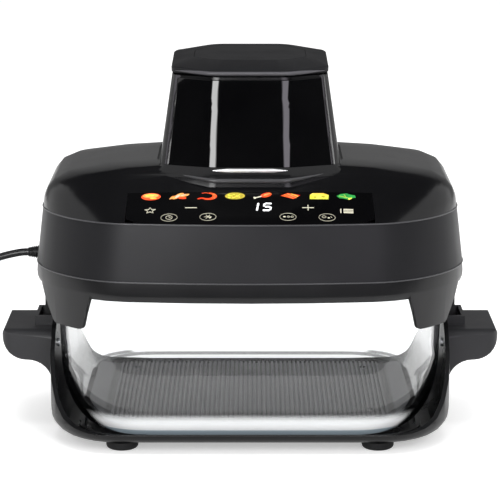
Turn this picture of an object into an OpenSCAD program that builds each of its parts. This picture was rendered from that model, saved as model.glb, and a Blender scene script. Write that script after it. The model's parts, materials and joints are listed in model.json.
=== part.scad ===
// Halogen oven: a glass bowl in a moulded cradle, under a lift-off lid with the heater, fan and touch panel.
// Millimetres, +Z up, front towards -Y, origin on the table under the middle of the oven.

/* [Cradle] */
// Gap between the bowl's rim and the cradle's side walls
cradle_gap = 0.9; // [0.7:0.1:1.5]
// How far the cradle reaches past the bowl, front and back
cradle_out = 4; // [3:0.5:6]
// Corner radius of the cradle in plan
cradle_r = 60; // [54:1:66]
// Wall thickness of the cradle
cradle_wall = 3.6; // [3:0.2:4.4]
// Thickness of the cradle's floor
cradle_floor = 2.5; // [2:0.25:3.5]
// Radius that joins the cradle's floor to its walls
cradle_fillet = 20; // [16:1:22]
// Height of the side walls above the table
cradle_top = 94; // [90:1:98]
// Height of the low lip along the front and the back
lip_top = 16.5; // [15.5:0.5:18]
// Half length of the straight top of each side wall
side_top_hy = 30; // [24:1:36]

/* [Feet] */
// Height of the feet
foot_h = 7; // [6:0.5:9]
// Radius of a foot
foot_r = 13.5; // [11:0.5:14]
// How far a foot's middle lies in from the cradle's side walls
foot_in_x = 62; // [60:1:68]
// How far a foot's middle lies in from the cradle's front and back
foot_in_y = 28; // [26:1:38]

/* [Handles] */
// How far a handle reaches from the cradle's wall
handle_reach = 43.8; // [40:0.5:46]
// Height of a handle's flat top above the table
handle_top = 86; // [84:1:88]
// Half width of a handle
handle_hy = 41; // [36:1:44]
// Radius of the curves under a handle
handle_curve = 21; // [19:0.5:21.5]
// Half width of the socket collar
socket_hy = 20; // [18:0.5:22]
// How far the socket collar reaches from the cradle's wall
socket_reach = 16.5; // [16:0.5:19]
// Wall thickness of the socket collar
socket_wall = 3; // [2.5:0.25:3.5]
// Height of the socket's floor above the table
socket_floor = 62; // [61.5:0.5:64]

/* [Bowl] */
// Half width of the bowl's flat bottom
bowl_foot_hw = 125; // [122:1:127]
// Half depth of the bowl's flat bottom
bowl_foot_hd = 99; // [96:1:100]
// How far the rounded foot widens the bowl, left and right
bowl_round_x = 36; // [33:1:37]
// How far the rounded foot widens the bowl, front and back
bowl_round_y = 22; // [20:1:23]
// Height of the rounded foot
bowl_round_z = 64; // [58:1:68]
// Draft of the bowl's wall from the rounded foot to the rim
bowl_draft = 1.5; // [1:0.5:2]
// Corner radius of the bowl in plan
bowl_r = 66; // [62:1:68]
// Thickness of the glass
bowl_wall = 5; // [4:0.5:6]
// Thickness of the bowl's bottom
bowl_floor = 6; // [5:0.5:7]
// Height of the bowl's rim above the table
rim_z = 142; // [141:0.5:142]
// How far the rim stands out from the wall
rim_out = 2; // [1.5:0.1:2.4]
// Thickness of the silicone pads under the bowl
pad_t = 1; // [0.8:0.1:2]

/* [Crisper plate] */
// How far the ribbed field lies in from the bowl's flat bottom
rib_in = 7; // [5:1:15]
// Pitch of the ribs
rib_pitch = 4; // [3.5:0.5:6]
// Height of a rib
rib_h = 2; // [1:0.25:2.5]
// Thickness of the plate
plate_t = 1.5; // [1:0.25:2]
// How far the plate lies in from the bowl's flat bottom, front and back
plate_in = 9; // [5:1:15]
// How far each plain end reaches past the ribs
wing_w = 20; // [16:1:20]
// How far each plain end rises
wing_rise = 9; // [8:0.5:12]
// Height of the bumpers that carry the plate
bumper_h = 4; // [3:0.5:6]

/* [Lid] */
// How far the lid reaches past the cradle's side walls
lid_over_x = 11; // [10.5:0.5:14]
// How far the lid reaches past the bowl in the middle of the front and the back
lid_over_y = 19; // [18:0.5:23]
// Corner radius of the lid in plan
lid_r = 80; // [76:1:82]
// How far the front and the back bow out
lid_bow = 18; // [14:1:20]
// Wall thickness of the lid's shells
lid_wall = 3; // [2.5:0.25:3.5]
// Height of the seam between skirt and housing above the table
seam_z = 150; // [150:0.5:153]
// How far the skirt reaches below the seam
skirt_drop = 17; // [15:0.5:18]
// Height of the housing wall above the seam
housing_h = 47; // [44:1:50]
// How far the housing wall leans in over its height
housing_lean = 5.6; // [4:0.2:6]
// How far the corner legs reach below the skirt
leg_drop = 27; // [24:1:29]
// Half width of a side post
post_hy = 12; // [10:0.5:13]
// Thickness of a side post
post_t = 7.5; // [7.5:0.25:8]
// Height of a post's lower end above the table
post_foot = 66; // [65.5:0.5:68]

/* [Lid top and tower] */
// Height of the slopes from the housing wall to the tower
slope_h = 37; // [33:1:40]
// Height of the tower from the slopes to the cap
tower_h = 73; // [68:1:78]
// How far the tower's foot lies in from the lid's sides
tower_in_x = 104.5; // [103:0.5:107]
// How far the tower's foot lies in from the lid's front and back
tower_in_y = 64; // [63:0.5:66]
// How far each side of the tower leans in over its height
tower_lean_x = 10.5; // [8.5:0.5:12.5]
// How far the tower's front and back lean in over its height
tower_lean_y = 10; // [8:0.5:12]
// Depth of the finger recess in each side of the tower
recess_d = 9.2; // [7:0.2:9.6]
// Thickness of the glossy front panel
panel_t = 3; // [2.5:0.25:3.5]
// Gap between the tower and its cap
cap_gap = 2; // [1.5:0.25:2.5]
// Height of the cap at its front edge
cap_h = 4; // [3.5:0.25:6]
// Extra height of the cap at its back edge
cap_rise = 6; // [4:0.5:7]
// How far the touch panel's ends lie in from the lid's sides
touch_in = 79; // [78:1:84]
// Half depth of the touch panel, measured level
touch_hd = 21.5; // [18:0.5:22]
// Thickness of the touch panel
touch_t = 2; // [1.5:0.25:2.5]

/* [Heater and fans] */
// How far the heater pan's mouth lies in from the bowl's sides
pan_in_x = 11; // [9:1:17]
// How far the heater pan's mouth lies in from the bowl's front and back
pan_in_y = 13; // [11:1:19]
// Height of the heater pan
pan_h = 35; // [32:1:38]
// Thickness of the pan's sheet steel
sheet_t = 1; // [0.8:0.1:1.5]
// Thickness of the seal on the bowl's rim
seal_t = 3; // [2:0.25:3]
// Radius of the halogen lamp's ring
lamp_ring_r = 74; // [70:1:78]
// Radius of the lamp's quartz tube
lamp_r = 5; // [4:0.25:5.5]
// Radius of the hot air fan
fan_r = 52; // [46:1:58]
// Blades of the hot air fan
fan_blades = 9; // [6:1:11]
// Radius of the cooling fan
cool_r = 42; // [36:1:46]
// Blades of the cooling fan
cool_blades = 12; // [8:1:14]
// Radius of the motor shaft
shaft_r = 3; // [2.5:0.25:3.5]
// Half width of the motor's steel core
motor_hw = 28; // [24:1:30]
// Height of the motor's steel core
motor_h = 24; // [20:1:28]

/* [Interlock and cord] */
// Radius of the interlock plunger
plunger_r = 1.8; // [1.6:0.1:1.9]
// Radius of the spring's wire
spring_wire_r = 0.4; // [0.3:0.05:0.45]
// Coils of the plunger spring
spring_turns = 6; // [4:1:8]
// Diameter of the mains cord
cord_d = 6.6; // [6.6:0.1:6.8]
// Space between neighbouring turns of the coiled cord
coil_gap = 0.6; // [0.5:0.1:0.8]

/* [Hidden] */
clear = 0.3;
corner_steps = 7;
vertex_steps = 4;

// Widths and depths that follow from the driving dimensions
bowl_hw = bowl_foot_hw + bowl_round_x;
bowl_hd = bowl_foot_hd + bowl_round_y;
cradle_hw = bowl_hw + bowl_draft + rim_out + cradle_gap + cradle_wall;
cradle_hd = bowl_hd + cradle_out;
foot_x = cradle_hw - foot_in_x;
foot_y = cradle_hd - foot_in_y;
rib_field_hw = bowl_foot_hw - rib_in;
plate_hd = bowl_foot_hd - plate_in;
lid_hw = cradle_hw + lid_over_x;
lid_hd = bowl_hd + lid_over_y;
tower_foot_hw = lid_hw - tower_in_x;
tower_foot_hd = lid_hd - tower_in_y;
tower_top_hw = tower_foot_hw - tower_lean_x;
tower_top_hd = tower_foot_hd - tower_lean_y;
touch_hw = lid_hw - touch_in;
pan_hw = bowl_hw - pan_in_x;
pan_hd = bowl_hd - pan_in_y;

// Heights that follow from the driving dimensions
floor_z = foot_h + cradle_floor;
bowl_z = floor_z + pad_t;
bowl_in_z = bowl_z + bowl_floor;
plate_z = bowl_in_z + bumper_h;
pan_z = rim_z + seal_t;
flange_z = pan_z + sheet_t;
flange_t = 3;
pan_roof_z = pan_z + pan_h;
skirt_z = seam_z - skirt_drop;
housing_z = seam_z + housing_h;
tower_z = housing_z + slope_h;
cap_z = tower_z + tower_h;
shield_z = pan_roof_z + sheet_t + 5;
shield_t = 1.5;
fan_air_z = pan_z + 17;
cool_z = shield_z + 7;
bracket_z = shield_z + 26;
bracket_t = 2;
motor_z = bracket_z + bracket_t + 8;

// Small shapes that several modules share
function unit(v) = v / norm(v);
function turned(v, a) = [v[0] * cos(a) - v[1] * sin(a), v[0] * sin(a) + v[1] * cos(a)];
function mix(a, b, t) = a + (b - a) * t;
function arc(cx, cy, r, a0, a1, n) = [for (i = [0:n]) let (a = mix(a0, a1, i / n)) [cx + r * cos(a), cy + r * sin(a)]];
function lifted(outline, z) = [for (p = outline) [p[0], p[1], z]];

// A rounded rectangle whose front and back bow out, drawn a wall thickness inside its size by inset
function oblong(hw, hd, r, bow = 0, inset = 0) =
    let (cx = hw - r, cy = hd - bow - r, q = r - inset, n = corner_steps)
    [for (k = [0:3]) let (sx = k == 0 || k == 3 ? 1 : -1, sy = k < 2 ? 1 : -1)
        for (i = [0:(k % 2 == 0 ? n + 3 : n)])
            let (a = 90 * (k + min(i, n) / n),
                x = i <= n ? sx * cx + q * cos(a) : sx * cx * (1 - (i - n) / 2),
                y = i <= n ? sy * cy + q * sin(a) : sy * (cy + q))
            [x, y + bow * (1 - pow(x / hw, 2)) * y / (hd - bow)]];

// A surface through rings of points. It closes on itself if loop is true, and is capped otherwise.
module loft(rings, loop = false) {
    m = len(rings);
    n = len(rings[0]);
    sides = [for (j = [0:(loop ? m - 1 : m - 2)], i = [0:n - 1], half = [0, 1])
        let (u = j * n, w = ((j + 1) % m) * n, k = (i + 1) % n)
        half == 0 ? [u + i, w + i, w + k] : [u + i, w + k, u + k]];
    caps = loop ? [] : [[for (i = [0:n - 1]) i], [for (i = [0:n - 1]) m * n - 1 - i]];
    polyhedron([for (ring = rings) each ring], concat(sides, caps));
}

function reversed(list) = [for (i = [len(list) - 1:-1:0]) list[i]];

module bored(z, h, r) {
    translate([0, 0, z]) cylinder(h = h, r = r, $fn = 48);
}

// Cradle
function cradle_ring(z, inset) =
    let (s = sqrt(1 - pow(1 - min(z - foot_h, cradle_fillet) / cradle_fillet, 2)), f = cradle_fillet * (1 - s))
    lifted(oblong(cradle_hw - f, cradle_hd - f, cradle_r - f, 0, inset), z);
function cut_z(y) = mix(lip_top, cradle_top, (1 + cos(180 * (abs(y) - side_top_hy) / (cradle_hd - 1 - side_top_hy))) / 2);

module side_cut() {
    rotate([90, 0, 90]) translate([0, 0, -cradle_hw - 10])
        linear_extrude(2 * cradle_hw + 20)
            polygon(concat([for (i = [0:20]) let (y = mix(side_top_hy, cradle_hd - 1, i / 20)) [y, cut_z(y)]],
                [[cradle_hd + 10, lip_top], [cradle_hd + 10, cradle_top + 10], [side_top_hy, cradle_top + 10]]));
}

module cradle() {
    fillet = [for (a = [0:15:90]) foot_h + cradle_fillet * (1 - cos(a))];
    outer = [for (z = concat(fillet, [cradle_top])) cradle_ring(z, 0)];
    inner_z = concat([floor_z], [for (z = fillet) if (z > floor_z + 1) z], [cradle_top]);
    inner = [for (z = inner_z) cradle_ring(z, cradle_wall)];
    color("#1d1e20") difference() {
        union() {
            difference() {
                loft(concat(outer, reversed(inner)));
                side_cut();
                mirror([0, 1, 0]) side_cut();
            }
            // The low ring that keeps the bowl in place
            translate([0, 0, floor_z - 0.5]) linear_extrude(5) difference() {
                polygon(oblong(bowl_foot_hw + 20, bowl_foot_hd + 12.5, 44));
                polygon(oblong(bowl_foot_hw + 15.5, bowl_foot_hd + 9.5, 40));
            }
        }
        for (x = [-foot_x, foot_x], y = [-foot_y, foot_y]) translate([x, y, 0]) bored(0, 20, 1.9);
        for (s = [-1, 1], y = [-screw_y, screw_y])
            translate([s * (cradle_hw + 5), y, screw_z]) rotate([0, -90 * s, 0]) cylinder(h = 20, r = 2.2, $fn = 32);
    }
}
screw_y = socket_hy + 9;
screw_z = handle_top - 13;

// Handles, each with the open collar that a side post of the lid drops into
module handle() {
    reach = cradle_hw + handle_reach;
    r = handle_curve;
    low = handle_top - r - 5;
    difference() {
        union() {
            intersection() {
                rotate([90, 0, 0]) translate([0, 0, -handle_hy - 5]) linear_extrude(2 * handle_hy + 10)
                    polygon(concat([[cradle_hw, low - r]], arc(cradle_hw + r + 0.5, low - r, r, 180, 90, 8),
                        arc(reach - r, low + r, r, 270, 360, 8), [[reach - 0.5, handle_top - 3], [reach - 2, handle_top],
                        [cradle_hw, handle_top]]));
                rotate([90, 0, 90]) linear_extrude(reach + 5)
                    polygon(concat([[-handle_hy, 0], [handle_hy, 0]], arc(handle_hy - 9, handle_top - 9, 9, 0, 90, 6),
                        arc(9 - handle_hy, handle_top - 9, 9, 90, 180, 6)));
                linear_extrude(handle_top + 5)
                    polygon(concat([[cradle_hw, -handle_hy]], arc(reach - 9, 9 - handle_hy + 2, 9, -90, 0, 6),
                        arc(reach - 9, handle_hy - 11, 9, 0, 90, 6), [[cradle_hw, handle_hy]]));
            }
            translate([cradle_hw, -socket_hy, socket_floor - socket_wall])
                cube([socket_reach, 2 * socket_hy, cradle_top - socket_floor + socket_wall]);
        }
        translate([cradle_hw - 1, socket_wall - socket_hy, socket_floor])
            cube([socket_reach - socket_wall + 1, 2 * (socket_hy - socket_wall), cradle_top]);
        for (y = [-screw_y, screw_y])
            translate([cradle_hw - 1, y, screw_z]) rotate([0, 90, 0]) cylinder(h = 13, r = 2.2, $fn = 32);
    }
}

module left_handle() {
    color("#1d1e20") mirror([1, 0, 0]) handle();
}

module right_handle() {
    color("#1d1e20") handle();
}

module handle_screws() {
    color("#8d9095") for (s = [-1, 1], y = [-screw_y, screw_y])
        translate([s * (cradle_hw - cradle_wall), y, screw_z]) rotate([0, 90 * s, 0]) {
            translate([0, 0, -1.8]) cylinder(h = 1.8, r = 3.8, $fn = 32);
            cylinder(h = 15, r = 2, $fn = 32);
        }
}

module bowl_pads() {
    color("#55585c") for (x = [30 - bowl_foot_hw, bowl_foot_hw - 30], y = [27 - bowl_foot_hd, bowl_foot_hd - 27])
        translate([x, y, 0]) bored(floor_z, pad_t, 8);
}

module foot(sx, sy) {
    color("#151516") translate([sx * foot_x, sy * foot_y, 0]) difference() {
        rotate_extrude($fn = 48) polygon(concat([[0, 0]], arc(foot_r - 3, 3, 3, -90, 0, 5), [[foot_r, foot_h], [0, foot_h]]));
        bored(-1, foot_h + 2, 1.9);
        bored(-1, 4, 4.2);
    }
}

module foot_front_left() {
    foot(-1, -1);
}

module foot_front_right() {
    foot(1, -1);
}

module foot_rear_left() {
    foot(-1, 1);
}

module foot_rear_right() {
    foot(1, 1);
}

module foot_screws() {
    color("#8d9095") for (x = [-foot_x, foot_x], y = [-foot_y, foot_y]) translate([x, y, 0]) {
        bored(1, 2, 3.6);
        bored(1, floor_z - 1, 1.7);
    }
}

// Bowl
function bowl_ring(a, inset, base) =
    lifted(oblong(bowl_foot_hw + bowl_round_x * sin(a), bowl_foot_hd + bowl_round_y * sin(a),
        bowl_r - bowl_round_y * (1 - sin(a)), 0, inset), base + (bowl_z + bowl_round_z - base) * (1 - cos(a)));
function bowl_rim(z, out, inset) =
    let (t = (z - bowl_z - bowl_round_z) / (rim_z - bowl_z - bowl_round_z))
    lifted(oblong(bowl_hw + bowl_draft * t + out, bowl_hd + bowl_draft * t + out, bowl_r + out, 0, inset), z);

module glass_bowl() {
    outer = concat([for (a = [0:11.25:90]) bowl_ring(a, 0, bowl_z)], [bowl_rim(rim_z - 6, 0, 0),
        bowl_rim(rim_z - 4, rim_out, 0), bowl_rim(rim_z, rim_out, 0)]);
    inner = concat([for (a = [0:11.25:90]) bowl_ring(a, bowl_wall, bowl_in_z)], [bowl_rim(rim_z, 0, bowl_wall)]);
    color("#bcd4d2", 0.45) loft(concat(outer, reversed(inner)));
}

// Crisper plate: ribs from front to back, and a plain raised end at each side
module crisper_plate() {
    count = floor(rib_field_hw / rib_pitch);
    half = rib_pitch / 4;
    end_x = rib_field_hw + wing_w;
    comb = [for (i = [-count:count]) each [[i * rib_pitch - half, plate_t], [i * rib_pitch - half, plate_t + rib_h],
        [i * rib_pitch + half, plate_t + rib_h], [i * rib_pitch + half, plate_t]]];
    color("#6f7276") translate([0, 0, plate_z]) difference() {
        intersection() {
            rotate([90, 0, 0]) translate([0, 0, -plate_hd]) linear_extrude(2 * plate_hd)
                polygon(concat([[-end_x, wing_rise + plate_t], [-rib_field_hw - 3, plate_t]], comb,
                    [[rib_field_hw + 3, plate_t], [end_x, wing_rise + plate_t], [end_x, wing_rise],
                    [rib_field_hw + 3, 0], [-rib_field_hw - 3, 0], [-end_x, wing_rise]]));
            translate([0, 0, -1]) linear_extrude(wing_rise + plate_t + rib_h + 2)
                polygon(oblong(end_x, plate_hd, 34));
        }
        for (x = [-bumper_x, bumper_x], y = [-bumper_y, bumper_y]) translate([x, y, 0]) bored(-1, 6, 2.8);
    }
}
bumper_x = rib_field_hw - 16;
bumper_y = plate_hd - 20;

module plate_bumpers() {
    color("#2b2b2d") for (x = [-bumper_x, bumper_x], y = [-bumper_y, bumper_y]) translate([x, y, 0]) {
        bored(bowl_in_z, bumper_h, 5.5);
        bored(bowl_in_z, bumper_h + plate_t, 2.5);
    }
}

// Lid skirt, with the four corner legs that keep the lid centred on the bowl
post_out = cradle_hw + 0.6 + post_t;
post_x = post_out - post_t / 2;
relief_y = 32;
relief_z = seam_z - 11;
function lid_ring(z, narrower, inset = 0) =
    lifted(oblong(lid_hw - narrower, lid_hd - narrower, lid_r - narrower, lid_bow, inset), z);

module lid_leg() {
    leg_z = skirt_z - leg_drop;
    side = (lid_hw - lid_hd + lid_bow) * sin(45);
    intersection() {
        loft([lid_ring(leg_z, 2.8), lid_ring(skirt_z + 6, 0.2), lid_ring(skirt_z + 6, 0.2, lid_wall),
            lid_ring(leg_z, 2.8, lid_wall)], true);
        rotate([0, 0, -45]) rotate([90, 0, 0]) translate([-side, 0, 0]) linear_extrude(lid_hw + 40)
            polygon(concat([[37, skirt_z + 7], [-37, skirt_z + 7]], arc(-9, leg_z + 7, 7, 200, 270, 4),
                arc(21, leg_z + 6, 6, 280, 350, 4)));
    }
}

module lid_skirt() {
    color("#232426") difference() {
        union() {
            loft([lid_ring(skirt_z, 3.5), lid_ring(skirt_z + 2.5, 1), lid_ring(skirt_z + 7, -0.6), lid_ring(seam_z, 0),
                lid_ring(seam_z, 0, lid_wall), lid_ring(skirt_z + 7, -0.6, lid_wall), lid_ring(skirt_z, 3.5, lid_wall)], true);
            translate([0, 0, flange_z]) linear_extrude(flange_t) difference() {
                polygon(oblong(lid_hw, lid_hd, lid_r, lid_bow, lid_wall - 1));
                polygon(oblong(lid_hw, lid_hd, lid_r, lid_bow, 12));
            }
            for (sx = [0, 1], sy = [0, 1]) mirror([sx, 0, 0]) mirror([0, sy, 0]) lid_leg();
        }
        for (p = pan_screw_places) translate([p[0], p[1], 0]) bored(pan_z, 10, 1.8);
        translate([-post_x, 0, 0]) bored(skirt_z - 2, 40, plunger_r + 0.5);
        translate([-lid_hw - 10, relief_y, relief_z]) rotate([0, 90, 0]) cylinder(h = 30, r = relief_hole_r, $fn = 48);
    }
}
side_screw_x = lid_hw - 9.4;
front_screw_y = lid_hd - 10.2;
pan_screw_places = [for (s = [-1, 1], t = [-1, 1]) each [[s * side_screw_x, t * 45], [s * 60, t * front_screw_y]]];

// Side posts that drop into the sockets of the handles
module post() {
    difference() {
        rotate([90, 0, 0]) translate([0, 0, -post_hy]) linear_extrude(2 * post_hy)
            polygon([[post_out - post_t, post_foot], [post_out, post_foot], [post_out, skirt_z - 13],
                [post_out + 1.2, skirt_z - 6], [lid_hw - 4, skirt_z - 0.01], [lid_hw - 4, skirt_z], [post_out - 4.2, skirt_z],
                [post_out - 4.2, flange_z], [post_out - post_t, flange_z]]);
        translate([post_x, 0, 0]) bored(post_foot - 1, 90, plunger_r + clear);
        translate([post_x, 0, 0]) bored(collar_z - 6, spring_top_z - collar_z + 6, spring_r + spring_wire_r + clear);
    }
}
collar_z = post_foot + 34;
spring_top_z = collar_z + 24;
spring_r = plunger_r + clear + spring_wire_r + 0.05;

module left_post() {
    color("#232426") mirror([1, 0, 0]) post();
}

module right_post() {
    color("#232426") post();
}

module lid_housing() {
    color("#2c2d30") difference() {
        loft([lid_ring(seam_z, 0), lid_ring(housing_z, housing_lean), lid_ring(housing_z, housing_lean, lid_wall),
            lid_ring(seam_z, 0, lid_wall)], true);
        for (x = [-60:12:60]) translate([x - 2, lid_hd - 25, seam_z + 14]) cube([4, 40, 20]);
    }
}

// Slopes of the lid's top, as rises with how far each section lies in from the side and from the front
slopes = [[0, 0, 0], [9, 1.4, 19], [16, 4.4, 37], [23, 10.4, 53], [29, 22, 64], [34, 54, 72], [37, 96, 76]];
function slope_ring(s, inset) =
    let (hw = lid_hw - housing_lean - s[1], hd = lid_hd - housing_lean - s[2], r = max(26, lid_r - housing_lean - s[2] * 0.9))
    lifted(oblong(hw, hd, r, lid_bow * (1 - s[2] / 80), inset), housing_z + s[0] * slope_h / 37);

module cover_shell() {
    outer = [for (s = slopes) slope_ring(s, 0)];
    inner = [for (s = slopes) slope_ring(s, lid_wall)];
    lower = [for (i = [0:len(inner) - 1]) [for (p = inner[i]) [p[0], p[1], p[2] - min(i, 1) * 2.6]]];
    loft(concat(outer, reversed(lower)), true);
}

// The touch panel's window, cut square to the front slope
slope_angle = atan(16 / 37);
touch_y = housing_lean - lid_hd + 1.5 + touch_hd;
touch_z = housing_z + (touch_hd + 1.5) * tan(slope_angle);
module on_slope() {
    translate([0, touch_y, touch_z]) rotate([slope_angle, 0, 0]) children();
}

module touch_window(grow, deep) {
    half = touch_hd / cos(slope_angle) + grow;
    sag = lid_bow * pow(touch_hw / lid_hw, 2) + 0.8;
    on_slope() translate([0, 0, -deep]) linear_extrude(deep + 12)
        polygon(concat([for (i = [-4:4]) [i / 4 * (touch_hw + grow), sag * pow(i / 4, 2) - half]],
            [[touch_hw - 1 + grow, half], [1 - touch_hw - grow, half]]));
}

module top_cover() {
    foot = [[-15, 12, 8], [-8, 8.5, 6], [-4, 4.5, 4], [-1.5, 2, 2], [0, 0.8, 0.8]];
    outer = [for (s = foot) tower_outline(tower_z + s[0], s[1], s[2], 0, 0, false)];
    inner = [for (s = foot) tower_outline(tower_z + s[0], s[1], s[2], 8, 0, false)];
    color("#1a1b1d") difference() {
        union() {
            cover_shell();
            loft(concat(outer, reversed(inner)), true);
        }
        touch_window(0.25, 6);
    }
}

module touch_panel() {
    color("#0a0a0c") intersection() {
        cover_shell();
        touch_window(0, touch_t);
    }
}

module touch_board() {
    color("#1f5b3a") on_slope() {
        translate([-88, -17, -touch_t - 5.6]) cube([176, 34, 1.6]);
        for (x = [-80, -54, -31, 31, 54, 80], y = [-12, 4]) translate([x, y, -touch_t - 4]) cylinder(h = 3.7, r = 3, $fn = 32);
    }
}

module display_module() {
    color("#101113") on_slope() translate([-7, -10, -touch_t - 4]) cube([34, 16, 3.7]);
}

// Tower: an octagon that narrows upwards, with a finger recess in each side
function recess(z) = let (up = min(1, max(0, (z - tower_z - 15) / 10)), down = min(1, max(0, (tower_z + 56 - z) / 10)))
    recess_d * sin(90 * up) * sin(90 * down);
function tower_outline(z, wider, deeper, inset, front_inset, cut = true) =
    let (t = min(1, max(0, (z - tower_z) / tower_h)), hw = mix(tower_foot_hw, tower_top_hw, t) + wider,
        hd = mix(tower_foot_hd, tower_top_hd, t) + deeper, hy = hd - mix(17, 21.4, t), hb = hd - mix(22, 32, t),
        n = vertex_steps, v = [[31, -hd], [hw, -hy], [hw, hb], [31, hd], [-31, hd], [-hw, hb], [-hw, -hy], [-31, -hd]])
    [for (i = [0:7]) let (p = v[i], a = unit(v[(i + 7) % 8] - p), b = unit(v[(i + 1) % 8] - p),
            r = i % 4 == 0 || i % 4 == 3 ? 22 : 12, half = acos(a * b) / 2,
            c = p + unit(a + b) * r / sin(half), s = p + a * r / tan(half) - c)
        for (k = [0:n + (i % 4 == 1 ? 6 : 0)])
            let (fronted = i == 0 || i == 7 || (i == 6 && k == n) || (i == 1 && k == 0),
                q = fronted ? r - inset - front_inset : r - inset, side = i == 1 ? 1 : -1,
                f = (k - n - 1) * 0.4 - 1, y = side * f * ((side * f < 0 ? hy : hb) - 9), dent = cut && abs(f) < 0.9 ? recess(z) : 0,
                at = k > n ? [side * (hw - inset - dent), y] : c + turned(s, (180 - 2 * half) * k / n) * q / r)
            [at[0], at[1], z]];

tower_rows = [for (h = [0, 15, 18, 21, 25, 46, 49, 52.5, 56, tower_h - 2]) tower_z + h];
module tower_shell() {
    outer = [for (z = concat(tower_rows, [cap_z])) tower_outline(z, 0, 0, 0, panel_t + 0.1)];
    inner = [for (z = concat([for (z = tower_rows) if (z < cap_z - lid_wall) z], [cap_z - lid_wall])) tower_outline(z, 0, 0, lid_wall, panel_t + 0.1)];
    color("#1c1d1f") loft(concat(reversed(inner), outer));
}

function front_part(ring) = let (n = vertex_steps, first = 6 * (n + 1) + 12 + n)
    [for (i = [0:2 * n + 3]) ring[(first + i) % len(ring)]];
module tower_front_panel() {
    rings = [for (z = tower_rows) concat(front_part(tower_outline(z, 0, 0, 0, 0)),
        reversed(front_part(tower_outline(z, 0, 0, 0, panel_t))))];
    color("#08080a") band(rings);
}

// A surface through rings that go along a strip and back, capped across the strip
module band(rings) {
    n = len(rings[0]);
    m = len(rings);
    sides = [for (j = [0:m - 2], i = [0:n - 1], half = [0, 1])
        let (u = j * n, w = u + n, k = (i + 1) % n, back = i >= n / 2 ? 1 : 0)
        half == 0 ? [u + i, w + i, back ? u + k : w + k] : [back ? w + i : u + i, w + k, u + k]];
    strips = [for (i = [0:n / 2 - 2]) each [[i, i + 1, n - 1 - i], [i + 1, n - 2 - i, n - 1 - i]]];
    caps = concat(strips, [for (f = strips) [for (k = reversed(f)) k + (m - 1) * n]]);
    polyhedron([for (ring = rings) each ring], concat(sides, caps));
}

cap_base = cap_z + cap_gap;
cap_top = cap_base + cap_h + cap_rise - 0.5;
function cap_ring(narrower, level, lean) = [for (p = tower_outline(cap_z, -narrower, -narrower, 0, 0, false))
    [p[0], p[1], level + lean * (p[1] + tower_top_hd) / (2 * tower_top_hd)]];
function plateau(z) = [for (p = tower_outline(cap_z, -16, -16, 0, 0, false)) [p[0], p[1] + 9, z]];
module tower_cap() {
    color("#2a2b2d") difference() {
        union() {
            loft([cap_ring(-0.4, cap_base, 0), cap_ring(-0.6, cap_base + cap_h - 1.2, cap_rise),
                cap_ring(0.8, cap_base + cap_h, cap_rise), plateau(cap_top)]);
            translate([0, 0, cap_z]) linear_extrude(cap_gap + 0.5)
                polygon([for (p = tower_outline(cap_z, -7, -7, 0, 0, false)) [p[0], p[1]]]);
        }
        inlay(clear, 2);
    }
}

module inlay(grow, high) {
    translate([0, 9, cap_top - 0.8]) linear_extrude(high)
        polygon([for (p = tower_outline(cap_z, grow - 18, grow - 18, 0, 0, false)) [p[0], p[1]]]);
}

module cap_inlay() {
    color("#323335") inlay(0, 0.8);
}

// Heater pan over the bowl, with what hangs in it
lamp_z = pan_z + 17;
lamp_gap = 30;
probe_x = -100;
probe_y = 60;
module heater_pan() {
    color("#b9bcc0") difference() {
        union() {
            translate([0, 0, pan_z]) linear_extrude(sheet_t)
                polygon(oblong(lid_hw, lid_hd, lid_r, lid_bow, lid_wall + clear));
            translate([0, 0, pan_z]) linear_extrude(pan_h + sheet_t) polygon(oblong(pan_hw, pan_hd, 52));
        }
        translate([0, 0, pan_z - 1]) linear_extrude(pan_h + 1) polygon(oblong(pan_hw, pan_hd, 52, 0, sheet_t));
        bored(pan_z, 50, shaft_r + 2);
        translate([probe_x, probe_y, 0]) bored(pan_z, 50, 2.3);
        for (p = pan_screw_places) translate([p[0], p[1], 0]) bored(pan_z - 1, 10, 1.8);
        for (s = [-1, 1]) translate([s * post_x, 0, pan_z - 1]) linear_extrude(3) square([post_t + 6, 2 * post_hy + 2], center = true);
    }
}

module pan_screws() {
    color("#8d9095") for (p = pan_screw_places) translate([p[0], p[1], 0]) {
        bored(pan_z - 1.6, 1.6, 2.8);
        bored(pan_z - 0.8, 5, 1.5);
    }
}

module bowl_seal() {
    color("#3a3a3c") translate([0, 0, rim_z]) linear_extrude(seal_t) difference() {
        polygon([for (p = bowl_rim(rim_z, rim_out, 0.6)) [p[0], p[1]]]);
        polygon([for (p = bowl_rim(rim_z, 0, bowl_wall - 1)) [p[0], p[1]]]);
    }
}

// Pressed steel guard: round holes in rings under the lamp
module heater_guard() {
    color("#a9adb2") translate([0, 0, pan_z + 1]) linear_extrude(1.2) difference() {
        polygon(oblong(pan_hw, pan_hd, 52, 0, sheet_t + clear));
        for (ring = [1:5]) let (r = 6 + 17 * ring, count = 6 * ring)
            for (i = [0:count - 1]) rotate(i * 360 / count) translate([r, 0]) circle(r = 5.8, $fn = 32);
        for (s = [-1, 1], i = [0:2], j = [-2:2]) translate([s * (pan_hw - 40 + 14 * i), j * 22]) circle(r = 5.2, $fn = 32);
    }
}

module halogen_tube() {
    color("#e9e4da", 0.6) translate([0, 0, lamp_z]) rotate([0, 0, lamp_gap - 90]) rotate_extrude(angle = 360 - 2 * lamp_gap, $fn = 96)
        translate([lamp_ring_r, 0]) difference() {
            circle(r = lamp_r, $fn = 48);
            circle(r = lamp_r - 1.2, $fn = 48);
        }
}

module lamp_filament() {
    color("#c9a36a") translate([0, 0, lamp_z]) rotate([0, 0, lamp_gap - 90])
        rotate_extrude(angle = 360 - 2 * lamp_gap, $fn = 96) translate([lamp_ring_r, 0]) circle(r = 0.8, $fn = 24);
}

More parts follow.
